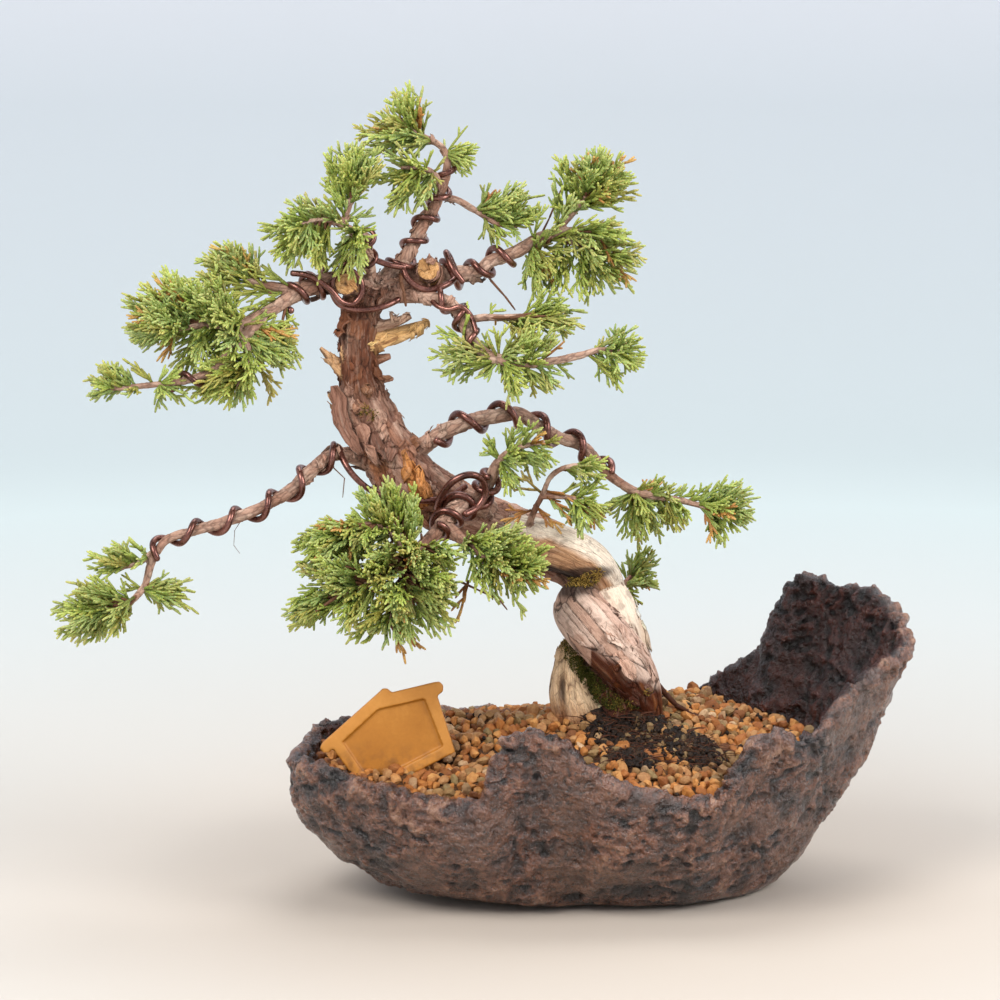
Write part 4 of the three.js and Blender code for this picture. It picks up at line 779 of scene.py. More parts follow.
class Graph:
    """Adds shader nodes whose sockets are set or joined by name."""

    def __init__(self, tree):
        self.tree = tree

    def add(self, kind, put=None, **settings):
        """A node; put gives its sockets numbers, screen colours or the outputs of other nodes."""
        node = self.tree.nodes.new(kind)
        for key, value in settings.items():
            setattr(node, key, value)
        for socket, value in (put or {}).items():
            if isinstance(value, bpy.types.NodeSocket):
                self.tree.links.new(value, node.inputs[socket])
            else:
                node.inputs[socket].default_value = paint(value) if isinstance(value, str) else value
        return node

    def where(self):
        """The place on the object, in metres."""
        return self.add("ShaderNodeTexCoord").outputs["Object"]

    def kept(self, name, output):
        """What the mesh keeps under a name, as a colour or a vector."""
        return self.add("ShaderNodeAttribute", attribute_name=name).outputs[output]

    def part(self, vector, index):
        """The x, y or z of a vector."""
        return self.add("ShaderNodeSeparateXYZ", {0: vector}).outputs[index]

    def split(self, name):
        """The red, green and blue of a colour that the mesh keeps."""
        return self.add("ShaderNodeSeparateColor", {0: self.kept(name, "Color")}).outputs

    def stretch(self, vector, scale):
        """A vector with its x, y and z multiplied."""
        return self.add("ShaderNodeVectorMath", {0: vector, 1: scale}, operation="MULTIPLY").outputs[0]

    def ramp(self, factor, *stops):
        """A colour that runs through stops: (place, colour)."""
        ramp = self.add("ShaderNodeValToRGB", {0: factor})
        points = ramp.color_ramp.elements
        while len(points) < len(stops):
            points.new(0.5)
        for point, (at, colour) in zip(points, stops):
            point.position = at
            point.color = colour if isinstance(colour, tuple) else paint(colour)
        return ramp.outputs[0]

    def mix(self, factor, a, b, blend="MIX"):
        """The colour a with the colour b over it, as far as the factor says."""
        put = {0: factor, 6: a, 7: b}
        return self.add("ShaderNodeMix", put, data_type="RGBA", blend_type=blend).outputs[2]

    def shade(self, factor, colour, tint):
        """Multiplies a colour by a tint, as far as the factor says."""
        return self.mix(factor, colour, tint, "MULTIPLY")

    def maths(self, operation, a, b=0.0):
        """A sum, a product or another operation on one or two numbers."""
        return self.add("ShaderNodeMath", {0: a, 1: b}, operation=operation).outputs[0]

    def times(self, a, b):
        """The product of two numbers."""
        return self.maths("MULTIPLY", a, b)

    def remap(self, value, low, high, to_low=0.0, to_high=1.0):
        """A number moved from one range to another, and held inside it."""
        put = {"Value": value, "From Min": low, "From Max": high, "To Min": to_low, "To Max": to_high}
        return self.add("ShaderNodeMapRange", put).outputs[0]

    def noise(self, vector, scale, detail, roughness=0.55):
        """Soft noise between 0 and 1."""
        put = {"Vector": vector, "Scale": scale, "Detail": detail, "Roughness": roughness}
        return self.add("ShaderNodeTexNoise", put).outputs["Fac"]

    def bump(self, height, strength, distance, normal=None):
        """A normal with fine relief, whose height is in millimetres."""
        put = {"Height": height, "Strength": strength, "Distance": distance * MM}
        if normal:
            put["Normal"] = normal
        return self.add("ShaderNodeBump", put).outputs[0]

    def mottle(self, vector, blotch, speckle, share):
        """Blotches with a share of speckle in them, from the group that most finishes use."""
        put = {"Vector": vector, "Blotch Scale": blotch, "Speckle Scale": speckle, "Speckle": share}
        return self.add("ShaderNodeGroup", put, node_tree=mottle_group()).outputs


class Finish(Graph):
    """A material's graph, with numbers set directly on sockets of its Principled shader."""

    def __init__(self, name, **sockets):
        self.material = bpy.data.materials.new(name)
        self.material.use_nodes = True
        super().__init__(self.material.node_tree)
        self.shader = self.tree.nodes["Principled BSDF"]
        for socket, value in sockets.items():
            self.shader.inputs[socket.replace("_", " ")].default_value = value

    def linked(self, **links):
        """The material, after outputs have been linked to sockets of its shader."""
        for socket, output in links.items():
            self.tree.links.new(output, self.shader.inputs[socket.replace("_", " ")])
        return self.material


def mottle_group():
    """A node group: a mask of blotches with a fine speckle in them, and the speckle alone."""
    if "Mottle" in bpy.data.node_groups:
        return bpy.data.node_groups["Mottle"]
    tree = bpy.data.node_groups.new("Mottle", "ShaderNodeTree")
    sockets = tree.interface
    sockets.new_socket(name="Vector", in_out="INPUT", socket_type="NodeSocketVector")
    for name, default in (("Blotch Scale", 60.0), ("Speckle Scale", 700.0), ("Speckle", 0.3)):
        made = sockets.new_socket(name=name, in_out="INPUT", socket_type="NodeSocketFloat")
        made.default_value = default
    for name in ("Mask", "Speckle"):
        sockets.new_socket(name=name, in_out="OUTPUT", socket_type="NodeSocketFloat")
    g = Graph(tree)
    given, result = g.add("NodeGroupInput").outputs, g.add("NodeGroupOutput").inputs
    blotch = g.noise(given["Vector"], given["Blotch Scale"], 5)
    speckle = g.noise(given["Vector"], given["Speckle Scale"], 2)
    mixed = g.add("ShaderNodeMix", {0: given["Speckle"], 2: blotch, 3: speckle}).outputs[0]
    tree.links.new(g.remap(mixed, 0.36, 0.64), result["Mask"])
    tree.links.new(speckle, result["Speckle"])
    return tree


# ------------------------------------------------------------------ finishes


def rock_material():
    """Dark brown stoneware like wet rock: near black painted shade in its pits and hollows, painted shade on
    its inner walls, smeared lighter skin, rust spots and a sheen.
    """
    g = Finish("Pot rock", Coat_Roughness=0.13)
    where = g.where()
    relief, smear, inside_wall_shade = g.split("relief")[:3]
    marks = g.mottle(where, 110.0, 800.0, 0.35)
    height = g.maths("ADD", relief, g.remap(marks["Mask"], 0, 1, -0.2, 0.2))
    # The relief runs from near black painted shade in pits and hollows to the rock's own rust brown on its
    # crests.
    colour = g.ramp(
        height, (0.14, "0e0705"), (0.38, "30180f"), (0.55, "56311f"), (0.72, "754730"), (0.94, "9a6f54")
    )
    skin = g.ramp(marks["Mask"], (0.0, "5c3928"), (1.0, "80583f"))
    colour = g.mix(g.remap(smear, 0, 1, 0, 0.55), colour, skin)
    rust = g.times(g.remap(g.noise(where, 95.0, 3), 0.56, 0.68), g.remap(height, 0.4, 0.7))
    colour = g.mix(g.times(rust, 0.7), colour, "7a472c")
    violet = g.remap(g.noise(where, 28.0, 2), 0.42, 0.66, 0, 0.28)
    colour = g.mix(violet, colour, g.mix(0.5, colour, "43343a"))
    speck = g.noise(where, 520.0, 3, 0.6)
    # Painted shade: near black specks in the hollows of the middle bump.
    colour = g.mix(g.remap(speck, 0.33, 0.47, 0.8, 0), colour, "170d0a")
    # Painted shade: the inside of the pot's walls is darkened.
    colour = g.shade(inside_wall_shade, colour, "865848")
    fine = g.bump(g.noise(where, 1100.0, 6, 0.7), 0.8, 0.5)
    middle = g.bump(speck, 1.0, 1.8, fine)
    bump = g.bump(g.noise(where, 210.0, 5, 0.62), 1.0, 3.2, middle)
    rough = g.remap(g.noise(where, 300.0, 3), 0.35, 0.65, 0.16, 0.42)
    coat, edge = g.remap(inside_wall_shade, 0, 1, 0.9, 0.35), g.remap(inside_wall_shade, 0, 1, 0.6, 0.3)
    g.linked(Coat_Weight=coat, Specular_IOR_Level=edge)
    return g.linked(Base_Color=colour, Roughness=rough, Normal=bump, Coat_Normal=bump)


def granule_material():
    """Baked clay granules: each has its own earth colour, from orange to olive brown."""
    g = Finish("Clay granules", Specular_IOR_Level=0.3)
    draw, wet = g.split("tint")[:2]
    where = g.where()
    marks = g.mottle(where, 380.0, 1700.0, 0.4)
    colour = g.ramp(
        draw, (0.0, "7c4f2c"), (0.14, "a86c38"), (0.3, "c58544"), (0.46, "d29c5c"), (0.6, "c39564"),
        (0.74, "ac8354"), (0.86, "8f7d54"), (0.94, "ae8e69"), (1.0, "dbc09a"),
    )
    colour = g.shade(g.remap(marks["Mask"], 0, 1, 0.7, 0), colour, "ba9072")
    colour = g.mix(wet, colour, g.mix(0.7, colour, "38261a"))
    bump = g.bump(g.noise(where, 1000.0, 5, 0.7), 0.7, 0.4)
    rough = g.remap(marks["Speckle"], 0.3, 0.7, 0.5, 0.8)
    return g.linked(Base_Color=colour, Roughness=rough, Normal=bump)


def earth_material(name, dark, middle, light):
    """Damp earth: the crumbs on the root ball, or the filling under the granules."""
    g = Finish(name, Specular_IOR_Level=0.3)
    where = g.where()
    marks = g.mottle(where, 160.0, 1500.0, 0.5)
    colour = g.ramp(marks["Mask"], (0.0, dark), (0.6, middle), (1.0, light))
    bump = g.bump(g.noise(where, 1000.0, 5, 0.7), 0.8, 0.5)
    return g.linked(Base_Color=colour, Roughness=g.remap(marks["Speckle"], 0.3, 0.7, 0.5, 0.9), Normal=bump)


def wood_material():
    """Bark and bare wood: the mesh keeps each place's colour; streaks and hairline cracks run along it."""
    g = Finish("Juniper wood", Specular_IOR_Level=0.35)
    fibre = g.kept("fibre", "Vector")
    crack, streak, gloss = g.split("finish")[:3]
    lines = g.noise(g.stretch(fibre, (1, 1, 0.1)), 0.75, 7, 0.66)
    fine = g.noise(g.stretch(fibre, (1, 1, 0.2)), 2.6, 4, 0.6)
    flecks = g.mottle(fibre, 0.28, 1.6, 0.45)
    colour = g.kept("tone", "Color")
    colour = g.shade(g.times(g.remap(lines, 0.5, 0.32), streak), colour, "85614c")
    colour = g.shade(g.times(g.remap(fine, 0.46, 0.3), streak), colour, "937360")
    light = g.times(g.remap(lines, 0.52, 0.72), g.remap(streak, 0, 1, 0, 0.45))
    colour = g.mix(light, colour, g.mix(0.55, colour, "fbeedd"))
    colour = g.shade(g.remap(flecks["Mask"], 1, 0, 0, 0.35), colour, "b39484")
    put = {"Vector": g.stretch(fibre, (1, 1, 0.3)), "Scale": 0.42}
    hair = g.add("ShaderNodeTexVoronoi", put, feature="DISTANCE_TO_EDGE")
    hairline = g.times(g.remap(hair.outputs["Distance"], 0.035, 0.0), g.remap(streak, 0.3, 0.9))
    colour = g.mix(g.times(hairline, 0.55), colour, "3a2318")
    colour = g.mix(crack, colour, "1f120c")
    relief = g.maths("ADD", lines, g.times(fine, 0.5))
    relief = g.maths("SUBTRACT", relief, g.times(hairline, 0.4))
    bump = g.bump(relief, 0.75, 0.9)
    rough = g.maths("SUBTRACT", g.remap(lines, 0.3, 0.7, 0.84, 0.66), g.times(gloss, 0.42))
    return g.linked(Base_Color=colour, Roughness=rough, Normal=bump)


def wire_material():
    """Aluminium wire, anodised brown, a little uneven in colour and sheen."""
    g = Finish("Brown wire", Metallic=0.8, Coat_Weight=0.3, Coat_Roughness=0.15)
    where = g.where()
    marks = g.mottle(where, 150.0, 1400.0, 0.3)
    colour = g.ramp(marks["Mask"], (0.0, "4a2c26"), (0.5, "6f453b"), (1.0, "8c5f54"))
    rough = g.remap(marks["Speckle"], 0.3, 0.7, 0.24, 0.38)
    return g.linked(Base_Color=colour, Roughness=rough, Normal=g.bump(marks["Speckle"], 0.1, 0.2))


def foliage_material():
    """Scale foliage: olive green where it is old, yellow green at its tips, straw where it has dried."""
    g = Finish(
        "Scale foliage", Specular_IOR_Level=0.4, Roughness=0.45, Subsurface_Weight=0.12,
        Subsurface_Scale=0.002,
    )
    growth = g.split("growth")
    run = g.kept("run", "Vector")
    age, number, dryness = growth["Red"], growth["Green"], growth["Blue"]
    green = g.ramp(age, (0.0, "636c2c"), (0.3, "7f8e38"), (0.6, "98a64b"), (0.85, "acb75a"), (1.0, "bec86d"))
    cool = g.ramp(age, (0.0, "5e703c"), (0.5, "8a9f5b"), (1.0, "b0bd7e"))
    colour = g.mix(g.remap(number, 0.25, 1, 0, 0.8), green, cool)
    dry = g.ramp(age, (0.0, "6b4020"), (0.5, "a86f38"), (1.0, "cfa65c"))
    colour = g.mix(dryness, colour, dry)
    length, turn = g.part(run, 0), g.part(run, 1)
    wave = g.maths("SINE", g.times(length, 5.2))
    side = g.maths("SINE", g.times(turn, 2.0))
    scales = g.maths("ADD", wave, g.times(g.times(side, wave), 0.6))
    # Painted shade in the hollows between the scales.
    colour = g.shade(g.remap(scales, -1.4, 1.4, 0.3, 0), colour, "8a9a6c")
    return g.linked(Base_Color=colour, Normal=g.bump(scales, 0.35, 0.12))


def plain_cord_material(name, colour):
    """Twigs and roots: one colour with darker specks."""
    g = Finish(name, Specular_IOR_Level=0.3, Roughness=0.7)
    speck = g.noise(g.where(), 900.0, 3)
    colour = g.mix(g.remap(speck, 0.4, 0.7, 0, 0.5), colour, g.mix(0.6, colour, "20150e"))
    return g.linked(Base_Color=colour, Normal=g.bump(speck, 0.5, 0.25))


def moss_material():
    """Moss: dark green at its foot, yellow green at its tip, straw where it has dried."""
    g = Finish("Moss", Specular_IOR_Level=0.2, Roughness=0.8)
    growth = g.split("growth")
    age, number, dryness = growth["Red"], growth["Green"], growth["Blue"]
    green = g.ramp(age, (0.0, "161d09"), (0.55, "3a4717"), (1.0, "6f7c30"))
    dry = g.ramp(age, (0.0, "4a3418"), (1.0, "c4a050"))
    colour = g.mix(dryness, g.mix(g.remap(number, 0, 1, 0, 0.6), green, "27320f"), dry)
    return g.linked(Base_Color=colour)


def plaque_material():
    """Mustard orange plastic with a paler border as painted light, painted shade along the border's inner
    edge, and darker low down.
    """
    g = Finish("Yellow plaque", Specular_IOR_Level=0.42)
    where = g.where()
    marks = g.mottle(where, 60.0, 800.0, 0.2)
    border, recess_shade = g.split("border")[:2]
    colour = g.ramp(marks["Mask"], (0.0, "a4671a"), (0.6, "af7122"), (1.0, "b97b2c"))
    # Painted light: the raised border is paler.
    colour = g.mix(border, colour, g.ramp(marks["Mask"], (0.0, "c5863a"), (1.0, "d39448")))
    # Painted shade along the inner edge of the raised border, in patches.
    recess_shade_patches = g.times(recess_shade, g.remap(g.noise(where, 420.0, 4), 0.42, 0.6))
    colour = g.mix(recess_shade_patches, colour, "6e3f16")
    height = g.part(where, 2)
    low = g.times(g.remap(height, 0.062, 0.05), g.remap(g.noise(where, 260.0, 4), 0.45, 0.65))
    colour = g.mix(low, colour, "7a4d20")
    rough = g.remap(marks["Speckle"], 0.3, 0.7, 0.42, 0.56)
    return g.linked(Base_Color=colour, Roughness=rough, Normal=g.bump(g.noise(where, 500.0, 3), 0.2, 0.3))


def net_material():
    """Black drainage net."""
    g = Finish("Black net", Roughness=0.6)
    marks = g.mottle(g.where(), 200.0, 1200.0, 0.4)
    colour = g.ramp(marks["Mask"], (0.0, "0c0c0c"), (1.0, "242322"))
    return g.linked(Base_Color=colour, Normal=g.bump(marks["Speckle"], 0.3, 0.2))


def studio_material():
    """Pale floor that runs up into a wall: warm white near the object and a little blue far from it, with a
    painted glow away from the object.
    """
    g = Finish("Pale studio", Roughness=0.85, Specular_IOR_Level=0.1, Emission_Strength=0.35)
    where = g.where()
    out = g.add("ShaderNodeVectorMath", {0: g.stretch(where, (1, 1, 0))}, operation="LENGTH").outputs["Value"]
    far = g.remap(g.maths("ADD", out, g.times(g.part(where, 2), 0.8)), 0.1, 2.8)
    marks = g.mottle(where, 3.0, 60.0, 0.2)
    plain = g.ramp(far, (0.0, "bfb5aa"), (0.2, "c8c6c4"), (1.0, "d0d9e2"))
    colour = g.mix(g.remap(marks["Mask"], 0, 1, 0, 0.02), plain, "b8b4ac")
    # Painted light: the floor and wall glow, not at all next to the object and more further away.
    glow = g.ramp(
        far, (0.02, (0, 0, 0, 1)), (0.08, (0.04, 0.14, 0.17, 1)), (0.2, (0.2, 0.36, 0.36, 1)),
        (0.37, (0.52, 0.79, 0.77, 1)), (0.82, (0.44, 0.47, 0.44, 1)), (0.97, (0.85, 0.72, 0.7, 1)),
    )
    return g.linked(Base_Color=colour, Emission_Color=glow)


# ------------------------------------------------------------------ settings


class PotSettings(PropertyGroup):
    detail: FloatProperty(
        name="Detail", description="Size of the rock's finest faces", default=0.0008,
        min=0.0005, max=0.004, subtype="DISTANCE", unit="LENGTH",
    )
    lumps: FloatProperty(
        name="Lumps", description="How strongly the rock's lumps stand out", default=1.0,
        min=0, max=2, subtype="FACTOR",
    )


class SoilSettings(PropertyGroup):
    smallest: FloatProperty(
        name="Smallest", description="Smallest granule, in millimetres", default=2.6,
        min=1, max=6, subtype="NONE",
    )
    largest: FloatProperty(
        name="Largest", description="Largest granule, in millimetres", default=5.8,
        min=2, max=10, subtype="NONE",
    )


class WoodSettings(PropertyGroup):
    detail: FloatProperty(
        name="Detail", description="Size of the wood's finest faces", default=0.00042,
        min=0.0003, max=0.002, subtype="DISTANCE", unit="LENGTH",
    )
    relief: FloatProperty(
        name="Bark relief", description="How strongly bark plates stand out", default=1.0,
        min=0, max=2, subtype="FACTOR",
    )
    flakes: IntProperty(
        name="Loose flakes", description="Small flakes of bark that stand off the wood", default=340,
        min=0, max=2000, subtype="NONE",
    )


class WireSettings(PropertyGroup):
    sides: IntProperty(
        name="Sides", description="Sides of the wire's round section", default=12,
        min=6, max=24, subtype="NONE",
    )


class FoliageSettings(PropertyGroup):
    density: FloatProperty(
        name="Density", description="Number of fronds against each pad's own habit", default=1.0,
        min=0.1, max=2, subtype="FACTOR",
    )
    cord: FloatProperty(
        name="Cord", description="Radius of a foliage cord, in millimetres", default=0.56,
        min=0.3, max=1.2, subtype="NONE",
    )


class StageSettings(PropertyGroup):
    key: FloatProperty(
        name="Key light", description="Power of the main soft light", default=15.0, min=0, unit="POWER",
    )
    sky: FloatVectorProperty(
        name="Surround", description="Colour of the soft surround", size=3, subtype="COLOR",
        default=(0.9, 0.95, 1.0), min=0, max=1,
    )


# ------------------------------------------------------------------ operators

# The drain holes: their middles' distance from the pot's middle, and their radius.
DRAIN_AT, DRAIN_RADIUS = 26, 6
# Sectors that the pot's rim is measured in, and the middle of the rim from left to right.
SECTORS, RIM_MIDDLE = 120, -5


class BONSAI_OT_pot(Operator):
    """Makes the rock-like pot"""

    bl_idname = "bonsai.pot"
    bl_label = "Pot"

    def execute(self, context):
        settings = context.scene.bonsai_pot
        mesh = refined(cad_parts["pot"].data, "pot_rock", settings.detail, 8)
        p, n = points_of(mesh), normals_of(mesh)
        q = p + 3 * layered(p, 14, 2, 90)[:, None]
        broad = layered(q, 30, 2, 1)
        drawn = ridges(q * (0.4, 0.4, 1), 7, 2, 5) * ease(noise(p, 40, 8), -0.3, 0.4)
        near_rim = 1 - ease(self.below_rim(p), 2, 16)
        smear = ease(noise(q, 18, 12), -0.05, 0.4) * (1 - 0.5 * near_rim)
        crinkle = (ridges(q, 7.5, 1, 18) + ridges(q, 3.6, 2, 20)) * (1 - 0.6 * smear)
        crinkle *= (0.8 + 0.5 * near_rim) * 0.75
        bumps = near_rim * (np.abs(noise(q, 5, 30)) - 0.35)
        pits = ease(-noise(q * (0.6, 0.6, 1), 2.5, 40), 0.38, 0.75) * (1 - 0.8 * smear)
        height = broad + 0.9 * drawn + 1.25 * crinkle + 2.0 * bumps - 1.3 * pits
        foot = ease(p[:, 2], 0.5, 7)
        from_drain = np.abs(np.hypot(np.abs(p[:, 0]) - DRAIN_AT, p[:, 1]) - DRAIN_RADIUS)
        move_points(mesh, p + n * (settings.lumps * height * foot * np.minimum(1, from_drain / 6))[:, None])
        # Relief for the finish: its low values become painted shade in pits and hollows.
        relief_shading = 0.54 + 0.1 * broad + 0.16 * drawn + 0.3 * crinkle + 0.25 * bumps - 0.5 * pits
        away = np.stack([(p[:, 0] - RIM_MIDDLE) / 110, p[:, 1] / 60], 1)
        away /= np.linalg.norm(away, axis=1, keepdims=True) + 1e-6
        # Painted shade: a mask of the inner walls, which the finish darkens and gives less coat.
        inside_wall_shade = ease(-(n[:, :2] * away).sum(1), 0.05, 0.4) * ease(p[:, 2], 40, 60)
        store(mesh, {"relief": packed(np.clip(relief_shading, 0, 1), smear, inside_wall_shade)})
        place(mesh, rock_material(), ["pot"])
        return {"FINISHED"}

    def below_rim(self, p):
        """How far each point is below the pot's rim on its side."""
        turn = np.arctan2(p[:, 1] * 1.7, p[:, 0] - RIM_MIDDLE) / math.pi + 1
        side = (turn * SECTORS / 2).astype(int) % SECTORS
        rim = np.zeros(SECTORS)
        np.maximum.at(rim, side, p[:, 2])
        return rim[side] - p[:, 2]


class BONSAI_OT_nets(Operator):
    """Finishes the drainage nets under the soil"""

    bl_idname = "bonsai.nets"
    bl_label = "Drainage nets"

    def execute(self, context):
        material = net_material()
        for name in ("drain_net_left", "drain_net_right"):
            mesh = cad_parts[name].data
            mesh.materials.clear()
            mesh.materials.append(material)
        return {"FINISHED"}


def in_root_ball(x, y):
    """Below 1 over the root ball, and more the further away from it."""
    return min(((x - cx) / rx) ** 2 + ((y - cy) / ry) ** 2 for cx, cy, rx, ry in ROOT_BALL)


def over_root_ball(draw, reach):
    """A place in plan on the root ball or round its edge."""
    cx, cy, rx, ry = ROOT_BALL[draw.choices(range(4), (3, 6, 4, 3))[0]]
    turn, far = draw.uniform(0, 2 * math.pi), math.sqrt(draw.random()) * reach
    return cx + rx * far * math.cos(turn), cy + ry * far * math.sin(turn)


# Grains lie where the soil is at least this level (1 is flat and 0 upright).
LEVEL = 0.15


def surface_of(node):
    """A tree of a CAD node's faces, for finding its surface; in metres."""
    return BVHTree.FromObject(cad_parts[node], bpy.context.evaluated_depsgraph_get())


def drop(tree, x, y):
    """Height of a surface straight under a place, in millimetres, and how level it is there."""
    hit, normal, _, _ = tree.ray_cast(Vector((x * MM, y * MM, 0.2)), Vector((0, 0, -1)))
    return (None, 0) if hit is None else (hit.z / MM, normal.z)


def inside(tree, p):
    """How deep a point is inside a solid, in millimetres; negative outside."""
    hit, normal, _, away = tree.find_nearest(Vector(p) * MM)
    return (away if (Vector(p) * MM - hit).dot(normal) < 0 else -away) / MM


# How sharp a granule's edges are, and the size of a cell that grains are kept by.
SHARPNESS, CELL = 26, 6


def granule_shapes(draw, count, level):
    """Broken granules of unit size: rounded blocks with uneven flat sides."""
    bm = bmesh.new()
    bmesh.ops.create_icosphere(bm, subdivisions=level, radius=1)
    ways = np.array([v.co for v in bm.verts])
    ways /= np.linalg.norm(ways, axis=1, keepdims=True)
    faces = np.array([[v.index for v in f.verts] for f in bm.faces])
    bm.free()
    shapes = []
    for k in range(count):
        sides = np.array([[draw.gauss(0, 1) for _ in range(3)] for _ in range(draw.randint(8, 11))])
        sides /= np.linalg.norm(sides, axis=1, keepdims=True)
        reach = np.array([draw.uniform(0.33, 0.5) for _ in sides])
        pull = (np.maximum(ways @ sides.T, 0) / reach) ** SHARPNESS
        radius = np.minimum(pull.sum(1) ** (-1 / SHARPNESS), 0.7)
        points = ways * (radius * (1 + 0.09 * noise(ways + 5 * k, 0.4, 40 + k)))[:, None]
        points *= (1.05, draw.uniform(0.75, 1), draw.uniform(0.62, 0.9))
        shapes.append((points, faces))
    return shapes


def spun(draw, shape, size, at):
    """A granule's points, turned at random, in its size and place."""
    turn = Quaternion([draw.gauss(0, 1) for _ in range(4)]).normalized().to_matrix()
    return shape[0] @ np.array(turn) * size + at


class Strewn:
    """Places grains so that no two stand too close together; it keeps them by cells of a grid."""

    def __init__(self):
        self.grid = {}

    def fits(self, at, size):
        """True, and takes the place, where there is room for a grain."""
        home = [int(c // CELL) for c in at]
        for step in np.ndindex(3, 3, 3):
            key = tuple(h + s - 1 for h, s in zip(home, step))
            for other, other_size in self.grid.get(key, ()):
                if math.dist(at, other) < 0.375 * (size + other_size):
                    return False
        self.grid.setdefault(tuple(home), []).append((at, size))
        return True


# Layers of granules: how many places are tried, and how high the grains stand, in shares of their size.
LAYERS = ((1500, 0.16), (18000, -0.04), (18000, -0.3), (12000, -0.55))
# How many pieces the granules are shared among, and how many crumbs and fine roots are tried.
GROUPS, CRUMBS, ROOTS = 6, 3600, 420


class BONSAI_OT_soil(Operator):
    """Fills the pot with clay granules, with the dark root ball showing in front"""

    bl_idname = "bonsai.soil"
    bl_label = "Soil"

    def execute(self, context):
        settings = context.scene.bonsai_soil
        draw = random.Random(11)
        soil, wood, label = (surface_of(n) for n in ("soil", "tree_wood", "label"))
        self.bed()
        shapes = granule_shapes(draw, 16, 2)
        groups, strewn = [[] for _ in range(GROUPS)], Strewn()
        for tries, lift in LAYERS:
            for _ in range(tries):
                x, y = draw.uniform(-120, 118), draw.uniform(-68, 68)
                size = draw.triangular(settings.smallest, settings.largest, 3.8)
                z, level = drop(soil, x, y)
                ball = in_root_ball(x, y) + draw.uniform(-0.12, 0.12)
                ridge = 0.7 * math.exp(-(((x - 18) / 7) ** 2) - ((y + 22) / 13) ** 2)
                if z is None or level < LEVEL:
                    continue
                if ball < 1 and draw.random() > 0.05 + ridge + 0.3 * max(ball, 0) ** 3:
                    continue
                size *= 0.85 if ball < 1 else 1
                at = (x, y, z + lift * size + 0.15)
                if inside(wood, at) > -0.25 * size or inside(label, at) > -0.35 * size:
                    continue
                if not strewn.fits(at, size):
                    continue
                wet = max(0.0, 1.1 - 0.45 * ball) * draw.random() if ball < 2.2 else 0.0
                olive = draw.random() < 0.9 * math.exp(-((x - 14) ** 2 + (y + 3) ** 2) / 200)
                tint = draw.uniform(0.74, 0.92) if olive or ball < 1 else draw.random() ** 1.15
                group = groups[draw.randrange(GROUPS)]
                group.append((at, size, (tint, min(1, wet + 0.3 * draw.random() ** 3), 0, 1)))
        material = granule_material()
        for k, group in enumerate(groups):
            bodies, tints = [], []
            for at, size, tint in group:
                shape = shapes[draw.randrange(len(shapes))]
                bodies.append((spun(draw, shape, size, at), [shape[1]]))
                tints.append(np.tile(tint, (len(shape[0]), 1)))
            points, faces = joined(bodies)
            mesh = mesh_from(f"soil_granules_{k + 1}", points, faces, {"tint": np.vstack(tints)})
            mesh.shade_flat()
            place(mesh, material)
        self.crumbs(draw, soil, wood)
        self.roots(draw, soil)
        return {"FINISHED"}

    def bed(self):
        """The dark filling under the granules."""
        mesh = refined(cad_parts["soil"].data, "soil_bed", 1.3 * MM, 3)
        p, n = points_of(mesh), normals_of(mesh)
        up = ease(n[:, 2], 0.2, 0.8)
        move_points(mesh, p + n * (up * (0.9 * layered(p, 3.2, 3, 3) - 0.6))[:, None])
        place(mesh, earth_material("Clay dust", "22150d", "4a301d", "74502f"), ["soil"])

    def crumbs(self, draw, soil, wood):
        """Small dark crumbs over the root ball and between the granules."""
        shapes = granule_shapes(draw, 6, 1)
        bodies = []
        for k in range(CRUMBS):
            x, y = over_root_ball(draw, 1.15)
            if k % 9 == 0:
                x, y = draw.uniform(-118, 116), draw.uniform(-66, 40)
            z, level = drop(soil, x, y)
            size = draw.triangular(0.6, 3.0, 1.1)
            if z is None or level < LEVEL or inside(wood, (x, y, z)) > -0.2 * size:
                continue
            shape = shapes[draw.randrange(len(shapes))]
            at = (x, y, z + 0.2 * size + draw.uniform(0, 0.9))
            bodies.append((spun(draw, shape, size, at), [shape[1]]))
        mesh = mesh_from("root_ball_crumbs", *joined(bodies))
        place(mesh, earth_material("Dark earth", "0c0705", "22150d", "45301d"))

    def roots(self, draw, soil):
        """Fine reddish roots on the root ball, some as thin as hairs, and two thicker roots."""
        roots = Cords()
        for k in range(ROOTS):
            x, y = over_root_ball(draw, 1.1)
            z, _ = drop(soil, x, y)
            if z is None:
                continue
            way, length = draw.uniform(0, 2 * math.pi), draw.uniform(3, 11)
            start = np.array([x, y, z + draw.uniform(0, 1.0)])
            end = start + (math.cos(way) * length, math.sin(way) * length, draw.uniform(-0.6, 1.4))
            bend = (start + end) / 2 + (draw.uniform(-3, 3), draw.uniform(-3, 3), draw.uniform(0.5, 2.6))
            thick = 0.09 if k % 14 == 0 else draw.triangular(0.1, 0.36, 0.14)
            roots.add(start, bend, end, thick, thick * 0.5)
        for points, foot, tip in THICK_ROOTS:
            roots.add_path(points, foot, tip)
        place(roots.mesh("fine_roots"), plain_cord_material("Fine roots", "4f2a18"))


# The plaque's place and turns, and the corners of the panel inside its raised border.
PLAQUE_AT = (-59, -32, 58)
PLAQUE_TURNS = ((-0.13, "X"), (-0.48, "Y"), (math.pi / 2, "X"))
PLAQUE_PANEL = [(-3, 4), (-1, 22.6), (-18, 27), (-35, 22.4), (-32.8, 4)]


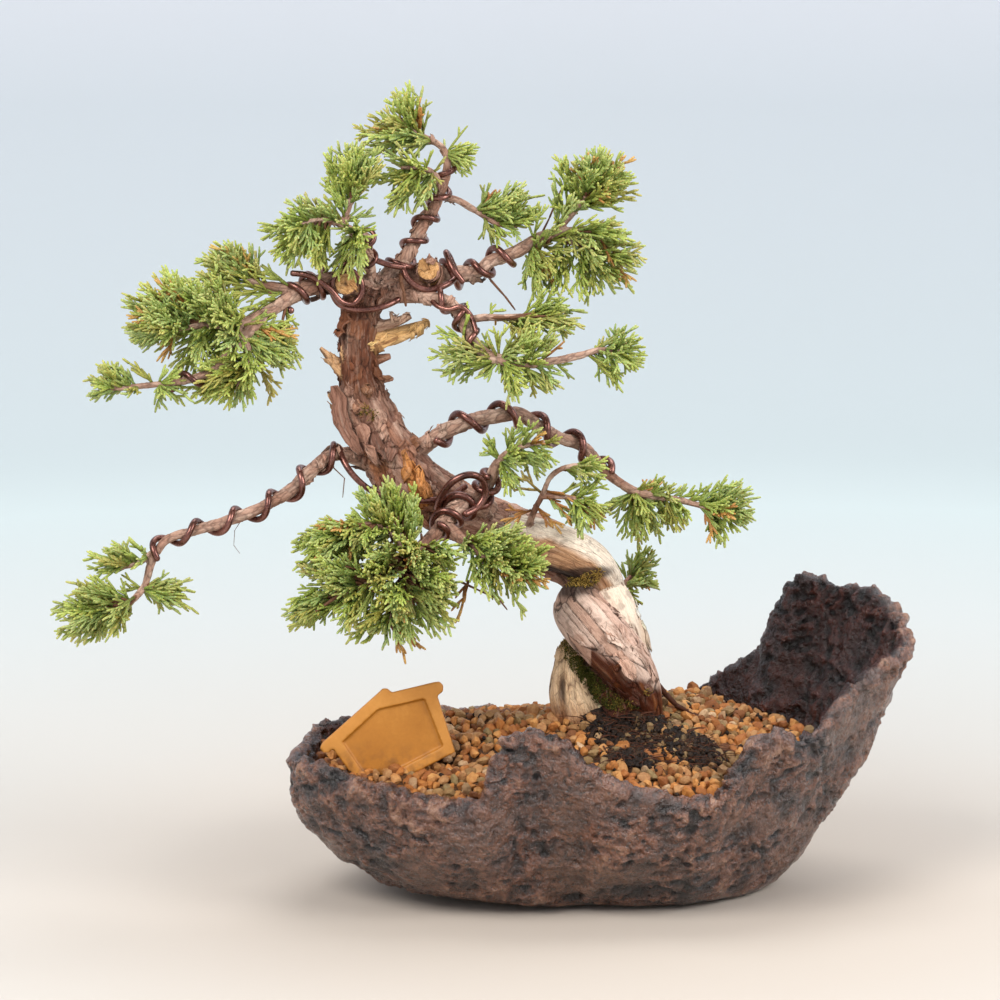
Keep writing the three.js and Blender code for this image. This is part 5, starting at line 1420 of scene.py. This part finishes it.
class BONSAI_OT_label(Operator):
    """Makes the blank house-shaped plaque"""

    bl_idname = "bonsai.label"
    bl_label = "Label"

    def execute(self, context):
        mesh = refined(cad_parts["label"].data, "plaque", 0.35 * MM, 9)
        p = points_of(mesh)
        stand = Matrix.Translation(PLAQUE_AT)
        for turn, axis in PLAQUE_TURNS:
            stand = stand @ Matrix.Rotation(turn, 4, axis)
        local = np.array(stand.inverted()) @ np.vstack([p.T, np.ones(len(p))])
        corners = np.array(PLAQUE_PANEL, float)
        away = np.full(len(p), -99.0)
        for a, b in zip(corners, np.roll(corners, -1, axis=0)):
            out = np.array([b[1] - a[1], a[0] - b[0]]) / np.linalg.norm(b - a)
            away = np.maximum(away, (local[0] - a[0]) * out[0] + (local[1] - a[1]) * out[1])
        face = ease(local[2], 1.4, 1.8)
        # A mask of the raised border, which the finish paints paler as painted light.
        border = ease(away, -0.35, 0.1) * face
        # Painted shade: a mask along the inside of the raised border.
        recess_shade = (1 - ease(np.abs(away + 0.5), 0.1, 0.8)) * ease(-local[2], -3.1, -2.7) * face
        store(mesh, {"border": packed(border, recess_shade, 0 * recess_shade)})
        place(mesh, plaque_material(), ["label"])
        return {"FINISHED"}


# How far apart two limbs' patterns lie along the grain, and the colour of each kind of deadwood.
LIMB_APART = 37
DEADWOOD_TONES = {
    "jin": "e4b87a", "prong": "bd9c84", "split": "d8ab7c", "splinter": "d48f4e", "stub": "a87a60",
    "snag": "a87a60",
}


def blob(p, at, half):
    """1 in the middle of a rounded region and 0 outside it."""
    return 1 - ease(np.linalg.norm((p - at) / half, axis=1), 0.55, 1.1)


class BONSAI_OT_wood(Operator):
    """Grows the trunk, limbs and deadwood as one skin, with bark along each limb"""

    bl_idname = "bonsai.wood"
    bl_label = "Wood"

    def execute(self, context):
        settings = context.scene.bonsai_wood
        grown = [("trunk", Limb(TRUNK), 72, trunk_outline)]
        for name, limb in limbs.items():
            grown.append((name, limb, 56, None) if name in STRANDS else ("limb", limb, 20, None))
        for name, points in DEADWOOD.items():
            outline = None if name.startswith("sawn") else torn_outline
            grown.append((name.split("_")[0], Limb(points, 0.5), 24, outline))
        skins = [limb.skin(sides, outline) for _, limb, sides, outline in grown]
        base = mesh_from("draft", *joined([(points, faces) for points, faces, _ in skins]))
        mesh = refined(base, "tree", settings.detail, 2)
        bpy.data.meshes.remove(base)
        p, n = points_of(mesh), normals_of(mesh)
        kinds, fibre, radius = self.nearest(grown, skins, p)
        height, tone, finish = self.bark(p, n, kinds, fibre, radius)
        move_points(mesh, p + n * (settings.relief * height)[:, None])
        store(mesh, {"fibre": fibre, "tone": tone, "finish": finish})
        place(mesh, wood_material(), ["tree_wood"])
        return {"FINISHED"}

    def nearest(self, grown, skins, p):
        """For each point the kind of wood, its place across and along its limb, and the limb's radius."""
        owner = np.concatenate([np.full(len(points), k) for k, (points, _, _) in enumerate(skins)])
        station = np.concatenate([stations for _, _, stations in skins])
        tree = near_tree(np.vstack([points for points, _, _ in skins]))
        found = np.array([tree.find(q)[1] for q in p])
        owner, station = owner[found], station[found]
        fibre, radius = np.empty((len(p), 3)), np.empty(len(p))
        for k, (_, limb, _, _) in enumerate(grown):
            mine = owner == k
            fibre[mine] = limb.local(p[mine], station[mine]) + (0, 0, LIMB_APART * k)
            radius[mine] = limb.radius[station[mine]]
        return np.array([name for name, *_ in grown])[owner], fibre, radius

    def bark(self, p, n, kinds, fibre, radius):
        """Height, colour and finish (crack, streaks, gloss) of the bark at each point."""

        def kind(*names):
            return np.isin(kinds, names).astype(float)

        x, y, z = p.T
        warp = 0.9 * layered(p, 5, 2, 3)[:, None]
        trunk, limb, roll = kind("trunk"), kind("limb"), kind("roll")
        left, front, right = kind("strand_left"), kind("strand_front"), kind("strand_right")
        dead = kind("jin", "prong", "split", "splinter", "sawn", "stub", "snag")
        upper = trunk * ease(z, 182, 194)
        middle = trunk - upper
        # Bark patterns lie along the limbs: the fibre's third number runs along, so it is drawn out.
        chips, chip = cells(fibre * (1, 1, 0.42) + 1.3 * warp, 2.7, 11)
        flakes, flake = cells(fibre * (1, 1, 0.5) + 1.6 * warp, 4.4, 21)
        plates, plate = cells(fibre * (1, 1, 0.24) + 0.6 * warp, 5.4, 31)
        rinds, rind = cells(fibre * (1, 1, 0.5) + warp, 2.2, 71)
        grooves = 0.6 * noise(fibre * (1, 1, 0.08), 3.0, 51) + 0.4 * noise(fibre * (1, 1, 0.1), 1.4, 52)
        threads = 0.6 * noise(fibre * (1, 1, 0.1), 1.6, 55) + 0.4 * noise(fibre * (1, 1, 0.14), 0.8, 56)
        chip_crack = (1 - ease(chips, 0.0, 0.13)) * ease(noise(p, 4, 17), -0.5, 0.3)
        flake_crack = (1 - ease(flakes, 0.0, 0.09)) * ease(noise(p, 5, 19), -0.25, 0.45)
        plate_crack = 1 - ease(plates, 0.0, 0.055)
        rind_crack = 1 - ease(rinds, 0.02, 0.2)
        rough = 0.55 * layered(p, 6, 3, 4)
        height = upper * (0.7 * (chip - 0.55) - 0.4 * chip_crack + rough + 0.35 * threads)
        height += middle * (0.9 * (flake - 0.5) - 0.4 * flake_crack + rough + 0.35 * threads)
        height += front * (0.5 * (plate - 0.5) - 0.4 * plate_crack + 0.25 * grooves + 0.12 * threads)
        side = ease(-x, 17, 20)
        height += left * (grooves * (0.45 + 0.6 * side) + 0.12 * threads)
        height += right * (0.22 * grooves + 0.1 * threads + 0.2 * layered(p, 8, 2, 14))
        up_face = ease(fibre[:, 0] / np.maximum(radius, 1) + 0.15 * noise(p, 6, 12), -0.05, 0.28)
        height += roll * (grooves * (0.25 + 0.45 * (1 - up_face)) + 0.12 * threads)
        thin = np.clip(radius / 4, 0.3, 1)
        height += limb * thin * (0.45 * (rind - 0.5) - 0.25 * rind_crack + 0.5 * layered(p, 5, 2, 72))
        height += dead * (1 - kind("sawn")) * thin * (0.8 * grooves + 0.35 * threads)

        # Each coat covers a kind of wood, or what a pattern or a region picks of it, by a share.
        tone = Coat(len(p), "b18671")
        tone.lay(middle * ease(flake, 0.55, 0.8) * 0.6, "d9b6a2")
        tone.lay(middle * ease(-flake, -0.35, -0.15) * 0.55, "7c5040")
        tone.lay(middle * ease(layered(p, 12, 2, 91), 0.1, 0.5) * 0.5, "a2643f")
        tone.lay(middle * blob(p, (-89, -11, 160), (7, 9, 9)) * 0.8, "a86a3c")
        tone.lay(middle * (1 - ease(z, 128, 146)) * 0.4, "8f6450")
        peeled = blob(p, (-84, -14, 172), (7, 9, 8))
        tone.lay(middle * (1 - peeled) * ease(noise(p, 3, 93), 0.1, 0.5) * 0.35, "6e4838")
        tone.lay(upper, "6b3c24")
        tone.lay(upper * ease(chip, 0.55, 0.85) * 0.55, "8e5a3a")
        tone.lay(upper * ease(layered(p, 9, 2, 94), 0.2, 0.6) * 0.45, "a07c68")
        tone.lay(upper * ease(-chip, -0.35, -0.12) * 0.6, "5f3623")
        tone.lay(limb, "b8937f")
        tone.lay(limb * ease(rind, 0.5, 0.8) * 0.6, "d8baa6")
        tone.lay(limb * ease(layered(p, 14, 2, 96), 0.1, 0.5) * 0.5, "925e45")
        tone.lay(front, "d9b7a4")
        tone.lay(front * ease(plate, 0.6, 0.9) * 0.6, "ead2c0")
        tone.lay(front * ease(-plate, -0.3, -0.12) * 0.45, "b5896f")
        tone.lay(front * ease(layered(p, 7, 2, 98), 0.3, 0.65) * 0.4, "a87459")
        foot = ease(89.5 - 0.62 * x + 2.5 * noise(p, 5, 99) - z, -2, 4) * (x > -9)
        tone.lay((front + trunk + 0.5 * right * ease(x, 10, 14)) * foot, "5c2d19")
        tone.lay(front * foot * ease(threads, 0.05, 0.5) * 0.7, "94592f")
        tone.lay(right * (1 - foot * ease(x, 10, 14)), "f9e8d2")
        tone.lay(right * ease(layered(p, 10, 2, 101), 0.2, 0.6) * 0.4, "dfbb98")
        dashes = ease(noise(fibre * (1, 1, 0.3), 1.5, 103), 0.42, 0.62) * ease(noise(p, 9, 104), -0.3, 0.2)
        tone.lay(right * dashes * 0.8, "6e4a34")
        tone.lay(right * ease(x, 12.5, 14.5) * ease(z, 80, 84) * 0.85, "8f6a54")
        tone.lay(left, "f2d2a8")
        tone.lay(left * side * ease(-grooves, -0.05, 0.3) * 0.9, "4e3324")
        tone.lay(left * side * 0.25, "a9835f")
        tone.lay(left * (1 - ease(z + 0.25 * x, 60, 72)) * 0.75, "a8682e")
        tone.lay(roll, "bd926c")
        tone.lay(roll * ease(-threads, 0.0, 0.4) * 0.5, "8a5f44")
        tone.lay(roll * up_face, "f7ead6")
        tone.lay(roll * up_face * ease(-threads, 0.3, 0.55) * 0.35, "b8977a")
        # Painted shade on the underside of the roll.
        tone.lay(roll * ease(-fibre[:, 0] / np.maximum(radius, 1), 0.62, 0.85), "301a10")
        # Painted shadow: the hollow under the roll and the line along its lower edge are darkened.
        tone.lay((1 - limb) * blob(p, (-17, -8, 116.5), (13, 14, 6)) * 0.92, "26140c")
        tone.lay((1 - limb) * (y < 0) * blob(p, (-9, -8, 121), (11, 12, 3)) * 0.85, "2e190f")
        for name, code in DEADWOOD_TONES.items():
            tone.lay(kind(name), code)
        tone.lay(kind("split") * ease(-fibre[:, 2] % LIMB_APART, 30, 37) * 0.5, "7c5230")
        cut = kind("sawn") * ease(-n[:, 1], 0.45, 0.7)
        tone.lay(cut, "d9a76c")
        rings = np.hypot(fibre[:, 0], fibre[:, 1])
        tone.lay(cut * ease(np.sin(rings * 7.5), 0.2, 0.9) * 0.22, "a06c38")
        tone.lay(cut * ease(1.2 - rings, 0, 0.8) * 0.6, "8a5a30")
        tone.lay((dead - cut) * ease(-threads, 0.2, 0.5) * 0.7, "80532f")
        tone.lay(ease(layered(p, 3, 2, 110), 0.45, 0.8) * 0.35 * (1 - dead), "5c4234")
        tone.lay((1 - ease(z, 58, 64)) * 0.7, "3a2416")

        crack = upper * chip_crack * 0.6 + middle * flake_crack * 0.6 + front * plate_crack * 0.9
        crack += limb * rind_crack * 0.45 + left * side * ease(-grooves, 0.25, 0.55) * 0.8
        crack += dead * ease(-grooves, 0.3, 0.5) * 0.7
        streak = 0.45 + 0.25 * (trunk + dead) + 0.3 * left + 0.25 * roll - 0.15 * right
        gloss = 0.9 * front * foot + 0.35 * right + 0.25 * roll * up_face
        return height, tone.colour, packed(*(np.clip(value, 0, 1) for value in (crack, streak, gloss)))


class BONSAI_OT_bark_flakes(Operator):
    """Adds thin sheets and flakes of bark that stand off the trunk"""

    bl_idname = "bonsai.bark_flakes"
    bl_label = "Bark flakes"

    def execute(self, context):
        draw = random.Random(23)
        wood = bpy.data.objects["tree"].data
        p, n = points_of(wood), normals_of(wood)
        tones = np.empty(len(p) * 4, np.float32)
        wood.attributes["tone"].data.foreach_get("color", tones)
        tones = tones.reshape(-1, 4)
        faces = [tuple(f.vertices) for f in wood.polygons]
        skin = BVHTree.FromPolygons([tuple(q) for q in p], faces)
        near = near_tree(p)
        sheets = [(*sheet, 12, 9) for sheet in BARK_SHEETS]
        x, z = p[:, 0], p[:, 2]
        barky = np.flatnonzero((z > 140) & (x < -60) & (x > -112) & (n[:, 1] < 0.5))
        lower = np.flatnonzero((z < 112) & (z > 72) & (n[:, 1] < 0.2) & (x < 14) & (x > -12))
        for k in range(context.scene.bonsai_wood.flakes):
            pool = lower if k % 6 == 0 else barky
            at = p[pool[draw.randrange(len(pool))]]
            way = (draw.gauss(0, 0.5), draw.gauss(0, 0.3), draw.choice((-1, 1)))
            size = draw.triangular(2.2, 7, 3)
            sheets.append((at, way, size, size * draw.uniform(0.4, 0.7), draw.uniform(0.3, 1.1), 5, 4))
        bodies, stored = [], {"tone": [], "fibre": [], "finish": []}
        pieces = [((-97, -6, 170), 28, 7, self.side_sheet())]
        for sheet in sheets:
            foot, _, length, width, *_ = sheet
            pieces.append((foot, length, width, self.sheet(draw, skin, *sheet)))
        for foot, length, width, (top, bottom) in pieces:
            rows, columns = top.shape[:2]
            bodies.append(shell(top, bottom))
            tone = tones[near.find(foot)[1]] * draw.uniform(0.85, 1.3)
            # Painted shade: the underside of each sheet is darker than its top.
            shade = np.repeat([1.0, 0.45], rows * columns)[:, None]
            along = np.tile(np.repeat(np.linspace(0, length, rows), columns), 2)
            across = np.tile(np.tile(np.linspace(0, width, columns), rows), 2)
            stored["tone"].append(np.clip(tone[None] * shade, 0, 0.9) * (1, 1, 1, 0) + (0, 0, 0, 1))
            stored["fibre"].append(np.stack([across, 0 * across, along], -1) + draw.uniform(0, 400))
            stored["finish"].append(np.tile((0, 0.75, 0, 1), (2 * rows * columns, 1)))
        values = {name: np.vstack(value) for name, value in stored.items()}
        mesh = mesh_from("bark_flakes", *joined(bodies), values)
        place(mesh, bpy.data.materials["Juniper wood"])
        return {"FINISHED"}

    def side_sheet(self):
        """Two grids of points for the torn sheet that stands open beside the trunk."""
        line = np.array(SIDE_SHEET, float)
        rows, columns = 22, 11
        share, part = np.linspace(0, 1, rows)[:, None], np.linspace(-1, 1, columns)[None, :]
        half = np.interp(share * (len(line) - 1), np.arange(len(line)), line[:, 3])
        places = np.stack(np.broadcast_arrays(share * 28, part * 4, 0 * part), -1)
        rough = noise(places.reshape(-1, 3), 1.6, 7).reshape(rows, columns)
        half = half * (1 + 0.28 * rough * np.abs(part))
        middle = smooth_curve(line[:, :3], share[:, 0])[:, None]
        top = middle + half[..., None] * part[..., None] * (1, -0.15, 0.15)
        top = top - (0.7 * part**2 + 0.25 * rough)[..., None] * (0, 1, 0)
        return top, top + (0.1, 0.5, 0)

    def sheet(self, draw, skin, foot, way, length, width, lift, rows, columns):
        """Two grids of points for a sheet that leaves the wood at its foot and lifts towards its end."""
        top, bottom = np.empty((rows, columns, 3)), np.empty((rows, columns, 3))
        at, way = Vector(foot), Vector(way).normalized()
        curl, tear = draw.uniform(0.05, 0.22), draw.uniform(0, 9)
        for i in range(rows):
            share = i / (rows - 1)
            hit, normal, _, _ = skin.find_nearest(at)
            way = (way - normal * way.dot(normal)).normalized()
            across = way.cross(normal)
            half = width / 2 * (0.7 + 0.3 * math.sin(math.pi * share)) * (1 - 0.35 * share**3)
            for j in range(columns):
                part = 2 * j / (columns - 1) - 1
                ragged = 1 + 0.3 * math.sin(9 * share + 3 * part + tear) * (0.3 + 0.7 * share)
                ragged += draw.uniform(-0.08, 0.08)
                rise = lift * share**1.5 + curl * half * part * part
                rise = rise + 0.12 + 0.15 * math.sin(7 * share + tear)
                point = hit + across * (half * part * ragged) + normal * rise
                point += way * ((0.9 * length / rows) * math.sin(11 * part + tear) * share)
                top[i, j] = point
                bottom[i, j] = point - normal * (0.42 - 0.2 * share)
            at = hit + way * (length / (rows - 1))
        return top, bottom


class BONSAI_OT_wires(Operator):
    """Winds the shaping wire round the limbs and from limb to limb"""

    bl_idname = "bonsai.wires"
    bl_label = "Wires"

    def execute(self, context):
        sides = context.scene.bonsai_wires.sides
        material = wire_material()
        for name, (radius, limb_name, start, end, turns, first) in WIRES.items():
            limb = limbs[limb_name]
            length = abs(turns) * 2 * math.pi * (limb.get("radius", (start + end) / 2) + radius)
            step = np.linspace(0, 1, int(length / 0.7))
            share = start + (end - start) * step
            reach = limb.get("radius", share) + radius + 0.15
            path = limb.ring(share, first + 2 * math.pi * turns * step, reach)
            place(tube_mesh(name + "_coil", path, radius, sides), material, [name])
        for name, (radius, points) in WIRE_LEADS.items():
            place(tube_mesh(name, np.array(points, float), radius, sides), material)
        return {"FINISHED"}


def tube_mesh(name, path, radius, sides):
    """A round tube along a path, with slightly rounded cut ends."""
    radii = np.full(len(path), float(radius))
    guide = Limb(np.column_stack([path, radii])[:: max(1, len(path) // 180)], 0.6)
    guide.radius[[0, -1]] *= 0.7
    points, faces, _ = guide.skin(sides)
    return mesh_from(name, points, faces)


class BONSAI_OT_foliage(Operator):
    """Grows the foliage pads: brown twigs that turn into flat fronds of green cords"""

    bl_idname = "bonsai.foliage"
    bl_label = "Foliage"

    def execute(self, context):
        settings = context.scene.bonsai_foliage
        material = foliage_material()
        twigs = Cords()
        for number, (name, (habit, stems, lobes, strays)) in enumerate(PADS.items()):
            draw = random.Random(100 + number)
            green = Cords()
            density, length, fullness = habit
            for at, half, lean, sprays in lobes:
                for i in range(1, int(sprays * density * settings.density) + 1):
                    foot, tip = spray_line(stems, at, half, lean, sprays, i)
                    dry = 1.0 if draw.random() < 0.03 else 0.35 * draw.random() ** 4
                    grow_frond(draw, green, twigs, foot, tip, settings.cord, length, fullness, dry)
            for foot, tip, dry in strays:
                grow_frond(draw, green, twigs, Vector(foot), Vector(tip), settings.cord, length, 0.8, dry)
            place(green.mesh(name + "_cords"), material, [name])
        for points, radius in BARE_TWIGS:
            twigs.add_path(points, radius, radius * 0.6)
        place(twigs.mesh("twigs"), plain_cord_material("Twig bark", "6f4a34"))
        return {"FINISHED"}


def spray_line(stems, at, half, lean, sprays, i):
    """Foot and tip of a lobe's spray number i: the solid's own sprays come first, then more between them."""
    polar = 1 - 2 * spread(i, 0)
    turn = 2 * math.pi * spread(i, 1)
    flat = math.sqrt(1 - polar * polar)
    way = Vector((flat * math.cos(turn), flat * math.sin(turn), polar)) + Vector(lean)
    way.normalize()
    inner = 0.7 if i <= sprays else 0.42
    depth = inner + (0.3 if i <= sprays else 0.58) * math.sqrt(spread(i, 2))
    tip = np.array(at) + np.array(half) * np.array(way) * depth
    best = None
    for name, start in stems:
        limb = limbs[name]
        shares = np.linspace(start, 1, 17)
        gaps = np.linalg.norm(limb.get("at", shares) - tip, axis=1)
        k = gaps.argmin()
        if best is None or gaps[k] < best[0]:
            best = (gaps[k], limb, start, shares[k])
    gap, limb, start, share = best
    back = (0.4 + 0.7 * spread(i, 3)) * gap / limb.span
    foot = limb.get("at", np.array([max(start + 0.02, share - back)]))[0]
    return Vector(foot), Vector(tip)


def grow_frond(draw, green, twigs, foot, tip, cord, length, fullness, dry):
    """One frond: a twig, brown at its foot, with forked green cords on both sides of it."""
    span = (tip - foot).length
    aim = (tip - foot).normalized()
    sag = Vector((draw.uniform(-1, 1), draw.uniform(-1, 1), draw.uniform(-0.5, 1))) * (0.12 * span)
    bend = (foot + tip) / 2 + sag

    def at(t):
        return bent(foot, bend, tip, t)

    def stretch(a, b):
        """The bend of the part of the curve between two shares of it."""
        return 2 * at((a + b) / 2) - (at(a) + at(b)) / 2

    tint = (draw.random(), dry)
    green_span = min(span, draw.uniform(12, 18) * length)
    woody = 1 - green_span / span
    if woody > 0.04:
        twigs.add(foot, stretch(0, woody), at(woody), 0.7, 0.5)
    green.add(at(woody), stretch(woody, 1), tip, cord * 1.02, cord * 0.85, (0.1, 0.95, *tint))
    side = aim.orthogonal().normalized()
    plane = Quaternion(aim, draw.uniform(0, 2 * math.pi)) @ side
    first = woody - 0.25 * draw.random() if woody > 0.3 else woody
    step = 2.2 / (span * fullness)
    t, k = first + step * draw.random(), 0
    while t < 0.985:
        share = max(0.0, (t - woody) / (1 - woody))
        root = at(t)
        along = (at(min(1, t + 0.02)) - at(t - 0.02)).normalized()
        flat = (plane - along * plane.dot(along)).normalized()
        out = Quaternion(along, draw.gauss(0, 0.5)) @ (flat if k % 2 else -flat)
        reach = (8.2 - 4.6 * share) * length * draw.uniform(0.6, 1.15)
        grow_side(draw, green, root, along, out, reach, cord, 0.25 + 0.45 * share, tint)
        t += step * draw.uniform(0.8, 1.2)
        k += 1


def grow_side(draw, green, root, along, out, reach, cord, age, tint):
    """A green cord that leaves its frond at an angle, with shorter cords on it."""
    lean = draw.uniform(0.4, 0.68)
    way = (along * math.cos(lean) + out * math.sin(lean)).normalized()
    end = root + way * reach + along * reach * 0.14
    middle = root + way * reach * 0.5 + out * reach * 0.07
    green.add(root, middle, end, cord * 0.95, cord * 0.84, (age, min(1, age + 0.3), *tint))
    forks = 2 if reach > 6.4 else 1 if reach > 4 else 0
    for m in range(forks):
        s = (m + 0.45) / (forks + 0.35)
        start = bent(root, middle, end, s)
        hand = out if m % 2 else along * 0.6 - out * 0.5
        turn = way.cross(hand).normalized()
        swing = Quaternion(turn, draw.uniform(0.5, 0.75)) @ way
        swing = (Quaternion(way, draw.gauss(0, 0.5)) @ swing).normalized()
        short = draw.uniform(2.4, 4.2) * (1 - 0.3 * s)
        stop = start + swing * short + way * 0.12 * short
        bend = (start + stop) / 2 + swing * 0.05
        ages = (min(1, age + 0.2), min(1, age + 0.42))
        green.add(start, bend, stop, cord * 0.88, cord * 0.8, (*ages, *tint))


class BONSAI_OT_moss(Operator):
    """Grows moss in the trunk's grooves"""

    bl_idname = "bonsai.moss"
    bl_label = "Moss"

    def execute(self, context):
        draw = random.Random(5)
        wood = bpy.data.objects["tree"].data
        p, n = points_of(wood), normals_of(wood)
        moss = Cords()
        for middle, reach, blades, dry, length in MOSS:
            gaps = np.linalg.norm(p - middle, axis=1)
            near = np.flatnonzero((np.linalg.norm(p - p[gaps.argmin()], axis=1) < reach) & (n[:, 1] < 0.35))
            for _ in range(blades):
                k = near[draw.randrange(len(near))]
                start = p[k] - 0.2 * n[k]
                way = n[k] + np.array([draw.gauss(0, 0.5), draw.gauss(0, 0.5), 0.3 + draw.gauss(0, 0.5)])
                end = start + way / np.linalg.norm(way) * length * draw.uniform(0.5, 1.2)
                bend = (start + end) / 2 + np.array([draw.gauss(0, 0.2) for _ in range(3)])
                dryness = 1.0 if draw.random() < dry else 0.25 * draw.random()
                moss.add(start, bend, end, 0.19, 0.12, (0, 1, draw.random(), dryness))
        place(moss.mesh("moss", sides=3, shares=(0, 0.6), thickness=(1, 0.9)), moss_material())
        return {"FINISHED"}


# The camera: its place and how far it leans from straight down, lens and sensor width in millimetres.
CAMERA_AT, CAMERA_LEAN = (-0.04255, -1.18259, 0.30285), 82.5
LENS, SENSOR = 114.84, 36

# Soft round lights: place, size, share of the key light's power, and colour. All aim at one place.
LIGHTS = {
    "Key": ((-0.65, -0.85, 1.0), 0.75, 1, (1.0, 0.96, 0.91)),
    "Right": ((0.95, -0.6, 0.75), 0.7, 0.75, (1.0, 0.98, 0.95)),
    "Top": ((0.05, 0.3, 1.2), 0.8, 0.5, (0.96, 0.98, 1.0)),
}
AIM = Vector((-0.03, 0, 0.12))
SURROUND_STRENGTH = 0.42

# The studio's bowl, in metres: the flat floor's radius, the bend's radius, the rim's height, and sides.
FLOOR, BEND, RIM, SIDES = 1.4, 1.0, 3.2, 96


class BONSAI_OT_stage(Operator):
    """Sets the pale studio, the soft lights and the camera"""

    bl_idname = "bonsai.stage"
    bl_label = "Stage"

    def execute(self, context):
        scene, settings = context.scene, context.scene.bonsai_stage
        self.studio(scene)
        world = bpy.data.worlds.new("Surround")
        world.use_nodes = True
        background = world.node_tree.nodes["Background"]
        background.inputs["Color"].default_value = (*settings.sky, 1)
        background.inputs["Strength"].default_value = SURROUND_STRENGTH
        scene.world = world
        for name, (place_at, size, share, colour) in LIGHTS.items():
            self.light(name, place_at, size, settings.key * share, colour)
        camera = bpy.data.cameras.new("Camera")
        camera.lens = LENS
        camera.sensor_width = SENSOR
        camera.clip_end = 100
        view = bpy.data.objects.new("Camera", camera)
        view.location = CAMERA_AT
        view.rotation_euler = (math.radians(CAMERA_LEAN), 0, 0)
        scene.collection.objects.link(view)
        scene.camera = view
        scene.view_settings.view_transform = "Standard"
        return {"FINISHED"}

    def studio(self, scene):
        """A floor that curves up into a wall all round, like a bowl."""
        bow = np.linspace(0, math.pi / 2, 15)[1:]
        floor = FLOOR * np.array([0.25, 0.5, 0.75, 1])
        radii = np.concatenate([floor, FLOOR + BEND * np.sin(bow), [FLOOR + BEND] * 2])
        heights = np.concatenate([0 * floor, BEND * (1 - np.cos(bow)), [2 * BEND, RIM]])[:, None]
        turn = np.linspace(0, 2 * math.pi, SIDES, endpoint=False)
        across, deep = radii[:, None] * np.cos(turn), radii[:, None] * np.sin(turn)
        rings = np.stack([across, deep, heights + 0 * turn], -1)
        points = np.vstack([rings.reshape(-1, 3), [(0, 0, 0)]]) / MM
        grid, turned, quads = bands(len(radii), SIDES)
        middle = np.stack([np.full(SIDES, len(points) - 1), grid[0], turned[0]], -1)
        mesh = mesh_from("studio", points, [quads[:, ::-1], middle])
        mesh.materials.append(studio_material())
        studio = bpy.data.objects.new("studio", mesh)
        scene.collection.objects.link(studio)

    def light(self, name, place_at, size, power, colour):
        """A soft round light that points at the object."""
        lamp = bpy.data.lights.new(name, "AREA")
        lamp.shape, lamp.size, lamp.energy, lamp.color = "DISK", size, power, colour
        holder = bpy.data.objects.new(name, lamp)
        holder.location = place_at
        holder.rotation_euler = (AIM - Vector(place_at)).to_track_quat("-Z", "Y").to_euler()
        bpy.context.scene.collection.objects.link(holder)


class BONSAI_PT_panel(Panel):
    """Lists the bonsai's pieces"""

    bl_idname = "BONSAI_PT_panel"
    bl_label = "Juniper Bonsai"
    bl_space_type = "VIEW_3D"
    bl_region_type = "UI"
    bl_category = "Bonsai"

    def draw(self, context):
        for operator in OPERATORS:
            self.layout.operator(operator.bl_idname)
        for name in SETTINGS:
            box = self.layout.box()
            group = getattr(context.scene, name)
            for field in group.__annotations__:
                box.prop(group, field)


SETTINGS = {
    "bonsai_pot": PotSettings, "bonsai_soil": SoilSettings, "bonsai_wood": WoodSettings,
    "bonsai_wires": WireSettings, "bonsai_foliage": FoliageSettings, "bonsai_stage": StageSettings,
}
OPERATORS = (
    BONSAI_OT_pot, BONSAI_OT_nets, BONSAI_OT_soil, BONSAI_OT_label, BONSAI_OT_wood, BONSAI_OT_bark_flakes,
    BONSAI_OT_wires, BONSAI_OT_foliage, BONSAI_OT_moss, BONSAI_OT_stage,
)


def register():
    """Registers the settings, the operators and the panel."""
    for cls in (*SETTINGS.values(), *OPERATORS, BONSAI_PT_panel):
        bpy.utils.register_class(cls)
    for name, cls in SETTINGS.items():
        setattr(bpy.types.Scene, name, PointerProperty(type=cls))


def unregister():
    """Unregisters the same classes."""
    for name in SETTINGS:
        delattr(bpy.types.Scene, name)
    for cls in (*SETTINGS.values(), *OPERATORS, BONSAI_PT_panel):
        bpy.utils.unregister_class(cls)


def main():
    """Makes every piece in order."""
    register()
    bpy.ops.bonsai.pot()
    bpy.ops.bonsai.nets()
    bpy.ops.bonsai.soil()
    bpy.ops.bonsai.label()
    bpy.ops.bonsai.wood()
    bpy.ops.bonsai.bark_flakes()
    bpy.ops.bonsai.wires()
    bpy.ops.bonsai.foliage()
    bpy.ops.bonsai.moss()
    bpy.ops.bonsai.stage()


if __name__ == "__main__":
    main()
